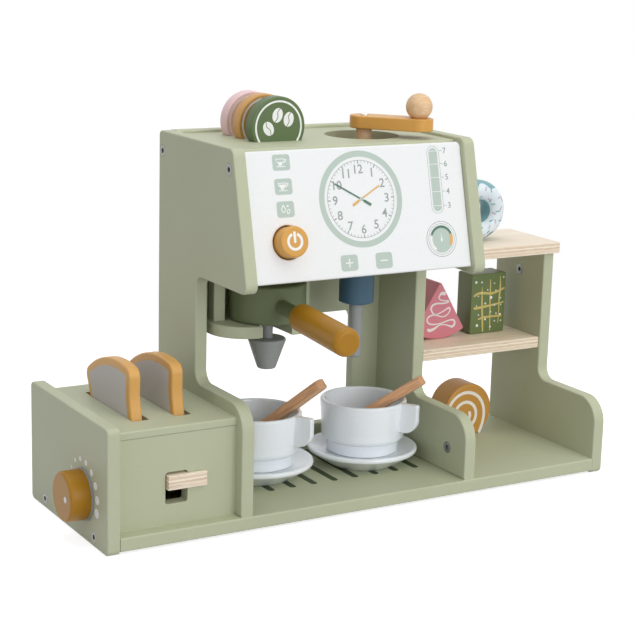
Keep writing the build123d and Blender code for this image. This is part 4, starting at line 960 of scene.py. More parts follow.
def ribbon(name: str, path: Sequence[Triple]) -> bpy.types.Object:
    """Makes a flat ribbon of changing width; each end is a fan at END_FAN's angles in radians.

    Args:
        name: Its name.
        path: Points along the ribbon's middle, each with the width there.

    Returns:
        The ribbon, in millimetres on the XY plane.
    """
    mesh = bmesh.new()
    rows = []
    for (left, right), (x, y, _) in zip(sides(path), path):
        rows.append([mesh.verts.new((*spot, 0.0)) for spot in (left, (x, y), right)])
    for first, second in zip(rows, rows[1:]):
        for a in (0, 1):
            mesh.faces.new((first[a], first[a + 1], second[a + 1], second[a]))
    for end, near, from_side in ((0, 1, 0), (-1, -2, 2)):
        x, y, width = path[end]
        heading = atan2(y - path[near][1], x - path[near][0])
        angles = [heading + a for a in END_FAN]
        rim = [(x + width / 2 * cos(a), y + width / 2 * sin(a), 0.0) for a in angles]
        fan = [mesh.verts.new(spot) for spot in rim]
        edge = [rows[end][from_side], *fan, rows[end][2 - from_side]]
        for p, q in zip(edge, edge[1:]):
            mesh.faces.new((rows[end][1], p, q))
    bmesh.ops.recalc_face_normals(mesh, faces=mesh.faces)
    shape = bpy.data.meshes.new(name)
    mesh.to_mesh(shape)
    mesh.free()
    return new_object(name, shape)


# ---------------------------------------------------------------- printing
@dataclass(frozen=True)
class Face:
    """A flat face to print on: its origin, the way to its right and the way up it."""

    origin: Vector
    right: Vector
    up: Vector

    def matrix(self) -> Matrix:
        """Returns the move from millimetres on the face to the scene."""
        turn = turned(self.right, self.up, self.right.cross(self.up))
        return Matrix.Translation(self.origin) @ turn @ Matrix.Scale(MM, 4)


def front_face(node: str) -> Face:
    """The front of an upright node, counted from the middle of its box."""
    low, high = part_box(node)
    return Face(Vector(((low.x + high.x) / 2, low.y, (low.z + high.z) / 2)), RIGHTWARDS, UPWARDS)


def outer_face(node: str, middle: Vector) -> Face:
    """The face of a node that looks towards the toaster's outer end, counted from a point."""
    return Face(Vector((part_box(node)[0].x, middle.y, middle.z)), FRONTWARDS, UPWARDS)


@dataclass
class Print:
    """Ink of one colour on one flat face: flat curves made a mesh and laid on the face.

    The lift lays one ink over another. Half is half the ink's thickness, and proud is how far the
    middle of that thickness stands off the face.
    """

    face: Face
    name: str
    lift: float = 0.0
    half: float = 0.05
    proud: float = 0.03
    numeral_weight: float = 0.011
    numeral_steps: int = 5
    shapes: list[bpy.types.Object] = field(default_factory=list)

    def fill(self, *loops: Loop) -> None:
        """Fills outlines; one inside another is a hole.

        Args:
            loops: The outlines, in millimetres on the face.
        """
        curve = bpy.data.curves.new(self.name, "CURVE")
        curve.dimensions = "2D"
        curve.fill_mode = "BOTH"
        curve.extrude = self.half
        for loop in loops:
            spline = curve.splines.new("POLY")
            spline.points.add(len(loop) - 1)
            for spot, (x, y) in zip(spline.points, loop):
                spot.co = (x, y, 0.0, 1.0)
            spline.use_cyclic_u = True
        self.keep(new_object(self.name, curve))

    def text(self, words: str, x: float, y: float, height: float) -> None:
        """Sets numerals.

        Args:
            words: The numerals.
            x, y: The middle of them.
            height: How high they stand.
        """
        bpy.ops.object.text_add()
        shape = bpy.context.object
        shape.data.body = words
        shape.data.resolution_u = self.numeral_steps
        shape.data.extrude = self.half / 8
        shape.data.offset = self.numeral_weight
        self.keep(shape)
        mesh = self.shapes[-1].data
        spots = [v.co.copy() for v in mesh.vertices]
        low = Vector((min(p.x for p in spots), min(p.y for p in spots), 0))
        high = Vector((max(p.x for p in spots), max(p.y for p in spots), 0))
        scale = height / (high.y - low.y)
        for corner in mesh.vertices:
            spot = (corner.co - (low + high) / 2) * scale
            corner.co = (spot.x + x, spot.y + y, self.half if corner.co.z > 0 else -self.half)

    def keep(self, shape: bpy.types.Object) -> None:
        """Makes a curve or text a mesh and keeps it for the print.

        Args:
            shape: The curve or text.
        """
        choose(shape)
        bpy.ops.object.convert(target="MESH")
        self.shapes.append(bpy.context.object)

    def press(self, station: Station, body: str, slot: str, finish: Finish) -> None:
        """Lays the whole print on its face.

        Args:
            station: The station it belongs to.
            body: The body it rides on.
            slot: The record's slot for its finish.
            finish: Its ink.
        """
        piece = joined(self.shapes, self.name)
        rise = Matrix.Translation((0, 0, self.lift + self.proud))
        piece.data.transform(self.face.matrix() @ rise)
        close_up(piece)
        station.add(piece, body, slot, finish)


# ---------------------------------------------------------------- boards
@dataclass
class Carcass:
    """The painted boards, the drip stripes on the base and the sunk fasteners."""

    stripe_count: int = 9
    stripe_right: float = 284.5
    stripe_pitch: float = 18.6
    stripe_width: float = 5.5
    stripe_corner: float = 5.5 / 2.02
    stripe_front: float = 44.0
    stripe_back: float = 125.0

    def build(self, station: Station) -> None:
        """Paints the boards and lays the drip stripes.

        Args:
            station: The station to dress.
        """
        station.paint(
            Finish.SAGE,
            "base_board",
            "toaster_outer_side",
            "machine_left_side",
            "machine_right_side",
            "shelf_outer_side",
            "back_panel",
            "machine_top_board",
            "head_floor",
            "toaster_top_board",
            "toaster_front_panel",
            "toaster_back_panel",
            "holder_plate",
            "holder_post_left",
            "holder_post_right",
        )
        station.paint(Finish.WHITE, "fascia")
        station.paint(Finish.RAW, "crank_bearing_rail", "button_block", "lift_guide_rods")
        station.paint(Finish.DARK_STEEL, "machine_bolts", "base_screws", "short_bolts")
        self.lay_stripes(station)

    def lay_stripes(self, station: Station) -> None:
        """Prints the stripes of the drip tray across the base.

        Args:
            station: The station to dress.
        """
        top = station.at(0, 0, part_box("base_board")[1].z / MM)
        stripes = Print(Face(top, RIGHTWARDS, BACKWARDS), "drip_stripes")
        middle = (self.stripe_front + self.stripe_back) / 2
        length = self.stripe_back - self.stripe_front
        for i in range(self.stripe_count):
            x = self.stripe_right - self.stripe_pitch * i
            stripes.fill(rounded(x, middle, self.stripe_width, length, self.stripe_corner))
        stripes.press(station, STATION, "sage_paint", Finish.INK_STRIPE)


# ---------------------------------------------------------------- printed panel
Inks = dict[Finish, Print]


class Drink(Enum):
    """The three drink keys, by the height of their middles on the panel."""

    LONG_COFFEE = 85.8
    SMALL_COFFEE = 68.6
    WATER = 52.4


@dataclass(frozen=True)
class Keys:
    """The drink keys and the plus and minus keys; a key is its width, height and corner."""

    x: float = 30.0
    drink_key: Triple = (14.2, 11.5, 2.2)
    sign_key: Triple = (14.4, 11.8, 2.4)
    plus: Point = (78.6, 10.5)
    minus: Point = (108.3, 10.2)
    sign_bar: Triple = (6.3, 0.9, 0.3)
    sign_stub: Triple = (0.9, 2.7, 0.3)
    stub_rise: float = 1.9
    bowl: Outline = (
        (-4.6, 2.8), (2.8, 2.8), (2.1, 0.6), (0.5, -0.9),
        (0.4, -2.2), (-2.2, -2.2), (-2.3, -0.9), (-3.9, 0.6),
    )  # fmt: skip
    grip: Outline = (
        (2.5, 2.4), (4.5, 2.1), (4.0, 0.8), (1.8, -0.9),
        (1.5, -0.3), (3.2, 1.1), (3.5, 1.6), (2.4, 1.8),
    )  # fmt: skip
    brim: Triple = (-4.0, 2.2, 2.2)
    slope: float = 0.35
    long_level: float = 0.4
    small_level: float = 1.5
    saucer_at: Point = (-0.4, -2.9)
    saucer: Triple = (7.0, 0.6, 0.28)
    drop: Outline = (
        (0.0, 3.2), (-1.3, 0.9), (-1.6, -0.6), (-0.9, -2.0),
        (0.0, -2.4), (0.9, -2.0), (1.6, -0.6), (1.3, 0.9),
    )  # fmt: skip
    drop_at: Point = (-1.7, 0.2)
    drop_size: Point = (1.15, 1.1)
    hollow: Triple = (0.62, 0.68, -0.2)
    bead: Triple = (1.9, 2.3, 0.8)
    pebble_at: Point = (2.3, -1.6)
    pebble: tuple[Point, Point] = ((2.6, 3.9), (1.4, 2.6))
    pebble_turn: float = -25.0

    def draw(self, inks: Inks) -> None:
        """Draws every key.

        Args:
            inks: The panel's inks.
        """
        sage, white = inks[Finish.INK_SAGE], inks[Finish.INK_WHITE]
        for drink in Drink:
            sage.fill(rounded(self.x, drink.value, *self.drink_key))
        self.draw_cup(white, Drink.LONG_COFFEE, self.long_level)
        self.draw_cup(white, Drink.SMALL_COFFEE, self.small_level)
        self.draw_water(white)
        for middle in (self.plus, self.minus):
            sage.fill(rounded(*middle, *self.sign_key))
            white.fill(rounded(*middle, *self.sign_bar))
        x, y = self.plus
        rises = (self.stub_rise, -self.stub_rise)
        white.fill(*(rounded(x, y + rise, *self.sign_stub) for rise in rises))

    def draw_cup(self, white: Print, drink: Drink, level: float) -> None:
        """Draws a cup on its saucer.

        Args:
            white: The white ink.
            drink: The key it stands on.
            level: How high it is filled.
        """
        y = drink.value
        left, right, brim = self.brim
        lean = self.slope * (brim - level)
        empty = ((left, brim), (right, brim), (right - lean, level), (left + lean, level))
        white.fill(moved(self.bowl, self.x, y), moved(empty, self.x, y))
        white.fill(moved(self.grip, self.x, y))
        dx, dy = self.saucer_at
        white.fill(rounded(self.x + dx, y + dy, *self.saucer))

    def draw_water(self, white: Print) -> None:
        """Draws the water key's hollow drop, its bead and its hollow pebble.

        Args:
            white: The white ink.
        """
        x, y = self.x, Drink.WATER.value
        wide, tall = self.drop_size
        tear = [(px * wide, py * tall) for px, py in smooth((*self.drop, self.drop[0]), 4)[:-1]]
        wide, tall, sink = self.hollow
        hollow = [(px * wide, py * tall + sink) for px, py in tear]
        dx, dy = self.drop_at
        white.fill(moved(tear, x + dx, y + dy), moved(hollow, x + dx, y + dy))
        dx, dy, radius = self.bead
        white.fill(circle(x + dx, y + dy, radius, 24))
        dx, dy = self.pebble_at
        white.fill(*(oval(x + dx, y + dy, *size, self.pebble_turn) for size in self.pebble))


@dataclass(frozen=True)
class Hand:
    """A clock hand, thin towards its tip and thick along its tail."""

    tip: Point
    tail: Point
    thin: float
    thick: float
    neck: Point = (0.3, 0.28)

    def outline(self) -> Loop:
        """Outlines the hand about the clock's middle.

        Returns:
            The outline.
        """
        tip, tail = Vector(self.tip), Vector(self.tail)
        along = (tip - tail).normalized()
        across = Vector((-along.y, along.x))
        low, high = (tail * share for share in self.neck)
        spine = ((tail, self.thick), (low, self.thick), (high, self.thin), (tip, self.thin))
        one = [p + across * w / 2 for p, w in spine]
        other = [p - across * w / 2 for p, w in reversed(spine)]
        return one + other


@dataclass(frozen=True)
class Clock:
    """The clock: rim, minute track, ticks by length and width, numerals, hands and hub."""

    middle: Point = (93.6, 56.2)
    rim: Point = (35.4, 30.9)
    track: Point = (28.5, 28.15)
    tick_from: float = 28.12
    hour_tick: Point = (2.3, 0.85)
    minute_tick: Point = (1.7, 0.28)
    numeral_radius: float = 22.0
    numeral_height: float = 6.6
    green_hand: Hand = Hand((-21.4, 12.2), (8.1, -4.8), 1.25, 2.1)
    yellow_hand: Hand = Hand((16.5, 9.0), (-7.4, -4.4), 1.15, 2.0)
    hub: float = 1.4

    def draw(self, inks: Inks) -> None:
        """Draws the clock, all but its hub.

        Args:
            inks: The panel's inks.
        """
        x, y = self.middle
        grey = inks[Finish.INK_GREY]
        inks[Finish.INK_SAGE].fill(*(circle(x, y, radius, 120) for radius in self.rim))
        grey.fill(*(circle(x, y, radius, 120) for radius in self.track))
        grey.fill(*(self.tick(minute) for minute in range(60)))
        for hour in range(1, 13):
            a = tau * hour / 12
            reach = self.numeral_radius
            grey.text(str(hour), x + reach * sin(a), y + reach * cos(a), self.numeral_height)
        inks[Finish.INK_GREEN].fill(moved(self.green_hand.outline(), x, y))
        inks[Finish.INK_YELLOW].fill(moved(self.yellow_hand.outline(), x, y))

    def tick(self, minute: int) -> Loop:
        """Outlines the tick of one minute.

        Args:
            minute: Which minute, from 0 to 59.

        Returns:
            The outline.
        """
        reach, width = self.minute_tick if minute % 5 else self.hour_tick
        a = tau * minute / 60
        along, across = Vector((sin(a), cos(a))), Vector((cos(a), -sin(a))) * width / 2
        start, end = along * self.tick_from, along * (self.tick_from - reach)
        corners = (start + across, start - across, end - across, end + across)
        return moved(corners, *self.middle)


@dataclass(frozen=True)
class Thermometer:
    """The thermometer; its pills are a width, what they are shorter by, and a corner."""

    x: float = 160.0
    low: float = 41.7
    high: float = 92.3
    rim: Triple = (10.8, 0.0, 5.3)
    rim_inside: Triple = (10.3, 0.5, 5.05)
    tube: Triple = (7.6, 3.2, 3.7)
    marks: tuple[float, ...] = (47.4, 58.0, 68.6, 78.6, 88.4)
    first_number: int = 3
    mark: Triple = (7.8, 0.4, 0.15)
    tick: Triple = (2.4, 0.35, 0.15)
    tick_x: float = 6.9
    numeral_x: float = 10.6
    numeral_height: float = 4.3

    def pill(self, width: float, shorter: float, corner: float) -> Loop:
        """Outlines the tube or one of the lines round it."""
        tall = self.high - self.low - shorter
        return rounded(self.x, (self.low + self.high) / 2, width, tall, corner)

    def draw(self, inks: Inks) -> None:
        """Draws the tube, its marks and their numerals.

        Args:
            inks: The panel's inks.
        """
        grey = inks[Finish.INK_GREY]
        grey.fill(self.pill(*self.rim), self.pill(*self.rim_inside))
        inks[Finish.INK_SAGE].fill(self.pill(*self.tube))
        for number, height in enumerate(self.marks, self.first_number):
            inks[Finish.INK_WHITE].fill(rounded(self.x, height, *self.mark))
            grey.fill(rounded(self.x + self.tick_x, height, *self.tick))
            grey.text(str(number), self.x + self.numeral_x, height, self.numeral_height)


@dataclass(frozen=True)
class Gauge:
    """The round gauge; its arcs are an ink, two radii and two angles."""

    middle: Point = (160.7, 22.4)
    rings: tuple[Point, ...] = ((13.4, 13.0), (11.6, 11.3))
    dial: float = 10.2
    arcs: tuple[tuple[Finish, float, float, float, float], ...] = (
        (Finish.INK_GREEN, 10.2, 8.3, 22, 158),
        (Finish.INK_YELLOW, 10.2, 7.7, -32, 20),
        (Finish.INK_WHITE, 10.1, 8.3, 164, 234),
    )
    needle: Outline = (
        (0.0, 5.2), (0.35, 0.6), (0.95, -0.6), (0.0, -2.3), (-0.95, -0.6), (-0.35, 0.6),
    )  # fmt: skip

    def draw(self, inks: Inks) -> None:
        """Draws the rings, the dial, its arcs and its needle.

        Args:
            inks: The panel's inks.
        """
        x, y = self.middle
        for ring in self.rings:
            inks[Finish.INK_GREY].fill(*(circle(x, y, radius, 90) for radius in ring))
        inks[Finish.INK_SAGE].fill(circle(x, y, self.dial, 90))
        for finish, *sizes in self.arcs:
            inks[finish].fill(band(x, y, *sizes))
        inks[Finish.INK_WHITE].fill(moved(self.needle, x, y))


@dataclass
class Panel:
    """The white sloping panel, with what is printed on it and how far each ink is lifted."""

    button: Point = (29.7, 28.7)
    keys: Keys = Keys()
    clock: Clock = Clock()
    thermometer: Thermometer = Thermometer()
    gauge: Gauge = Gauge()
    inks: tuple[tuple[str, Finish, float], ...] = (
        ("sage", Finish.INK_SAGE, 0.0),
        ("white", Finish.INK_WHITE, 0.1),
        ("grey", Finish.INK_GREY, 0.02),
        ("green", Finish.INK_GREEN, 0.12),
        ("yellow", Finish.INK_YELLOW, 0.16),
    )
    hub_lift: float = 0.2

    def face(self, station: Station) -> Face:
        """Finds the panel's face from the button's axis.

        Args:
            station: The station it belongs to.

        Returns:
            The face, counted from the panel's lower left corner.
        """
        joint = station.joints["button_press"]
        out = -Vector(joint["axis"])
        up = out.cross(RIGHTWARDS).normalized()
        if up.z < 0:
            up = -up
        x, y = self.button
        return Face(Vector(joint["pos_m"]) - (RIGHTWARDS * x + up * y) * MM, RIGHTWARDS, up)

    def build(self, station: Station) -> None:
        """Prints the panel, ink over ink.

        Args:
            station: The station to dress.
        """
        face = self.face(station)
        inks = {finish: Print(face, f"panel_{name}_ink", lift) for name, finish, lift in self.inks}
        for drawing in (self.keys, self.clock, self.thermometer, self.gauge):
            drawing.draw(inks)
        hub = Print(face, "clock_hub", self.hub_lift)
        hub.fill(circle(*self.clock.middle, self.clock.hub, 28))
        hub.press(station, STATION, "white_paint", Finish.INK_SAGE)
        for finish, ink in inks.items():
            ink.press(station, STATION, "white_paint", finish)


@dataclass
class PowerButton:
    """The button in the panel, with its symbol."""

    panel: Panel
    symbol_radius: float = 6.5
    stroke_width: float = 2.0
    gap: float = 21.0
    bar: Point = (-1.0, 7.3)
    bar_corner: float = 0.9

    def build(self, station: Station) -> None:
        """Paints the button and prints its symbol on its face.

        Args:
            station: The station to dress.
        """
        station.paint(Finish.MUSTARD, "power_button")
        face = self.panel.face(station)
        out = face.right.cross(face.up)
        corners = station.nodes["power_button"].data.vertices
        reach = max((v.co - face.origin).dot(out) for v in corners)
        x, y = self.panel.button
        middle = face.origin + out * reach + (face.right * x + face.up * y) * MM
        symbol = Print(Face(middle, face.right, face.up), "button_symbol")
        inner = self.symbol_radius - self.stroke_width
        symbol.fill(band(0, 0, self.symbol_radius, inner, 90 + self.gap, 450 - self.gap))
        low, high = self.bar
        bar = rounded(0, (low + high) / 2, self.stroke_width, high - low, self.bar_corner)
        symbol.fill(bar)
        symbol.press(station, "button", "mustard_paint", Finish.INK_WHITE)


# ---------------------------------------------------------------- springs
@dataclass
class Coil:
    """A wound wire spring that stands for a plain sleeve."""

    node: str
    joint: str
    turns: int
    wire: float = 0.9
    wire_sides: int = 8
    turn_steps: int = 28
    travel: float = 10.4

    def build(self, station: Station) -> None:
        """Winds the spring along its sleeve's axis.

        Args:
            station: The station to dress.
        """
        axis = Vector(station.joints[self.joint]["axis"]).normalized()
        spots = [v.co for v in station.nodes[self.node].data.vertices]
        along = [p.dot(axis) for p in spots]
        low, high = min(along), max(along)
        centre = sum(spots, Vector()) / len(spots)
        middle = centre - axis * centre.dot(axis)
        outer = max((p - axis * p.dot(axis) - middle).length for p in spots)
        length = high - low
        coil = self.wind(outer, length)
        turn = axis.to_track_quat("Z", "Y").to_matrix().to_4x4()
        coil.data.transform(Matrix.Translation(middle + axis * low) @ turn)
        coil.name = coil.data.name = f"{self.node}_coil"
        smooth_shade(coil, 60)
        station.add(coil, STATION, "bright_steel", Finish.BRIGHT_STEEL)
        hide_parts(self.node)
        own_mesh(coil)

    def wind(self, outer: float, length: float) -> bpy.types.Object:
        """Winds the wire round the Z axis, upwards from the origin.

        Args:
            outer: The spring's outer radius in metres.
            length: Its length in metres.

        Returns:
            The spring, with its wire's ends closed.
        """
        half = self.wire / 2 * MM
        bpy.ops.mesh.primitive_circle_add(
            vertices=self.wire_sides,
            radius=half,
            location=(outer - half, 0, half),
            rotation=(pi / 2, 0, 0),
        )
        coil = bpy.context.object
        settle(coil)
        modify(
            coil,
            "SCREW",
            axis="Z",
            angle=tau,
            screw_offset=(length - self.wire * MM) / self.turns,
            iterations=self.turns,
            steps=self.turn_steps,
            render_steps=self.turn_steps,
            use_normal_calculate=True,
        )
        edit(
            coil,
            lambda: bpy.ops.mesh.select_all(action="SELECT"),
            lambda: bpy.ops.mesh.remove_doubles(threshold=1e-7),
            lambda: bpy.ops.mesh.fill_holes(sides=self.wire_sides),
            lambda: bpy.ops.mesh.normals_make_consistent(inside=False),
        )
        return coil


# ---------------------------------------------------------------- toaster
@dataclass
class Toaster:
    """The toaster's lever, bread, browning knob and the dots round it."""

    crust: float = 4.2
    crumb_thick: float = 0.2
    crumb_round: float = 0.06
    dots: tuple[Triple, ...] = (
        (63.8, 47.3, 2.6), (57.0, 54.3, 3.2), (47.7, 58.0, 3.8), (37.4, 57.8, 4.4),
        (27.8, 53.5, 5.1), (20.7, 45.8, 5.8), (17.6, 36.2, 6.4), (18.5, 26.3, 7.1),
    )  # fmt: skip
    knob_dot: Triple = (7.0, 0.0, 4.6)

    def build(self, station: Station) -> None:
        """Dresses the whole toaster.

        Args:
            station: The station to dress.
        """
        station.veneer("toast_lever", "lift_plate")
        station.paint(Finish.DEEP_MUSTARD, "toaster_knob")
        station.paint(Finish.GREY, "knob_washer")
        station.paint(Finish.RAW, "knob_shaft", "knob_collar")
        for hand in ("left", "right"):
            station.paint(Finish.CRUST, f"toast_{hand}")
            self.make_crumb(station, f"toast_{hand}", f"slice_{hand}")
        self.print_dial(station)

    def make_crumb(self, station: Station, node: str, body: str) -> None:
        """Makes the two crumb faces of a slice, inset from its crust.

        Args:
            station: The station to dress.
            node: The slice's node.
            body: The slice's body.
        """
        crumb = copy_of(station.nodes[node], f"{node}_crumb")
        close_up(crumb, 1e-6)
        pick_faces(crumb, lambda face: abs(face.normal.x) < 0.999)
        inset = self.crust * MM
        edit(
            crumb,
            lambda: bpy.ops.mesh.delete(type="FACE"),
            lambda: bpy.ops.mesh.select_all(action="SELECT"),
            lambda: bpy.ops.mesh.dissolve_limited(
                angle_limit=radians(0.5), use_dissolve_boundaries=False
            ),
            lambda: bpy.ops.mesh.select_all(action="SELECT"),
            lambda: bpy.ops.mesh.inset(thickness=inset, use_boundary=True, use_even_offset=True),
            lambda: bpy.ops.mesh.select_all(action="INVERT"),
            lambda: bpy.ops.mesh.delete(type="FACE"),
        )
        thickness = self.crumb_thick * MM
        modify(crumb, "SOLIDIFY", thickness=thickness, offset=0.5, use_even_offset=True)
        round_edges(crumb, self.crumb_round * MM)
        modify(crumb, "TRIANGULATE")
        station.add(crumb, body, "toast_paint", Finish.CRUMB)

    def print_dial(self, station: Station) -> None:
        """Prints the browning dots on the side and the pointer dot on the knob.

        Args:
            station: The station to dress.
        """
        dial = Print(outer_face("toaster_outer_side", station.at(0, 0, 0)), "browning_dots")
        for y, z, width in self.dots:
            dial.fill(circle(-y, z, width / 2, 32))
        dial.press(station, STATION, "sage_paint", Finish.INK_WHITE)
        low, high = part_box("toaster_knob")
        mark = Print(outer_face("toaster_knob", (low + high) / 2), "knob_dot")
        x, y, width = self.knob_dot
        mark.fill(circle(x, y, width / 2, 40))
        mark.press(station, "knob", "mustard_paint", Finish.INK_WHITE)


# ---------------------------------------------------------------- machine head
@dataclass
class Crank:
    """The grinder's crank."""

    def build(self, station: Station) -> None:
        """Paints the arm and leaves the turned pieces bare.

        Args:
            station: The station to dress.
        """
        station.paint(Finish.MUSTARD, "crank_arm")
        station.paint(Finish.RAW, "crank_post", "crank_collars", "crank_ball")
        station.paint(Finish.BRIGHT_STEEL, "crank_screw")


@dataclass
class CoffeePads:
    """Three pads in the lid, each with a ring and three beans, by their middle and turn."""

    ring: Point = (19.6, 18.2)
    bean: Point = (8.4, 11.0)
    beans: tuple[Triple, ...] = ((-1.1, 8.6, -18.0), (8.3, 5.4, -12.0), (-8.5, -1.0, 30.0))
    crease: Outline = ((0.6, 5.2), (-0.7, 2.2), (0.7, -1.6), (-0.5, -5.2))
    crease_width: float = 0.5
    crease_lift: float = 0.1

    def build(self, station: Station) -> None:
        """Paints the pads and prints their fronts.

        Args:
            station: The station to dress.
        """
        colours = {"green": Finish.GREEN, "yellow": Finish.OCHRE, "pink": Finish.PINK}
        for colour, finish in colours.items():
            node, slot = f"pad_{colour}", f"{colour}_paint"
            station.paint(finish, node)
            face = front_face(node)
            white = Print(face, f"{node}_print")
            white.fill(*(circle(0, 0, radius, 90) for radius in self.ring))
            creases = Print(face, f"{node}_creases", self.crease_lift)
            for x, y, turn in self.beans:
                white.fill(oval(x, y, *self.bean, turn))
                spin = Matrix.Rotation(radians(turn), 2)
                line = moved([spin @ Vector(p) for p in self.crease], x, y)
                creases.fill(stroke_outline(smooth([(*p, self.crease_width) for p in line])))
            white.press(station, f"coffee_{node}", slot, Finish.INK_WHITE)
            creases.press(station, f"coffee_{node}", slot, finish)


@dataclass
class Brewing:
    """The portafilter, its spout and the milk frother."""

    def build(self, station: Station) -> None:
        """Paints the brewing pieces.

        Args:
            station: The station to dress.
        """
        station.paint(Finish.OLIVE, "portafilter_basket", "portafilter_neck")
        station.paint(Finish.DEEP_MUSTARD, "portafilter_handle")
        station.paint(Finish.GREY, "spout_stem", "spout_cone", "frother_wand")
        station.paint(Finish.BLUE, "frother_body")


# ---------------------------------------------------------------- cups
@dataclass
class CupBay:
    """Two cups on saucers, each with a spoon."""

    wood: Timber = Timber((240, 198, 160), (196, 146, 106), singed=(210, 160, 120))

    def build(self, station: Station) -> None:
        """Lacquers the china and grains each spoon along its own length.

        Args:
            station: The station to dress.
        """
        for hand in ("left", "right"):
            station.paint(Finish.LACQUER, f"cup_{hand}", f"saucer_{hand}")
            node = f"spoon_{hand}"
            frame = self.grain_frame(station.nodes[node])
            station.coat(self.wood.dress(f"{node}_wood", frame), node)

    def grain_frame(self, spoon: bpy.types.Object) -> Matrix:
        """Finds a spoon's own frame.

        Args:
            spoon: The spoon's node.

        Returns:
            The frame: X along the spoon and Z through its thickness.
        """
        spots = np.array([v.co[:] for v in spoon.data.vertices])
        _, axes = np.linalg.eigh(np.cov((spots - spots.mean(0)).T))
        along, across = Vector(axes[:, 2]), Vector(axes[:, 1])
        through = along.cross(across)
        own = spots @ np.array([along[:], across[:], through[:]]).T
        middle = (own.max(0) + own.min(0)) / 2
        centre = along * middle[0] + across * middle[1] + through * middle[2]
        return Matrix.Translation(centre) @ turned(along, across, through)


# ---------------------------------------------------------------- shelves and cakes
@dataclass
class Shelves:
    """The two plywood shelves."""

    def build(self, station: Station) -> None:
        """Dresses both shelves in plywood."""
        station.veneer("upper_shelf", "middle_shelf")


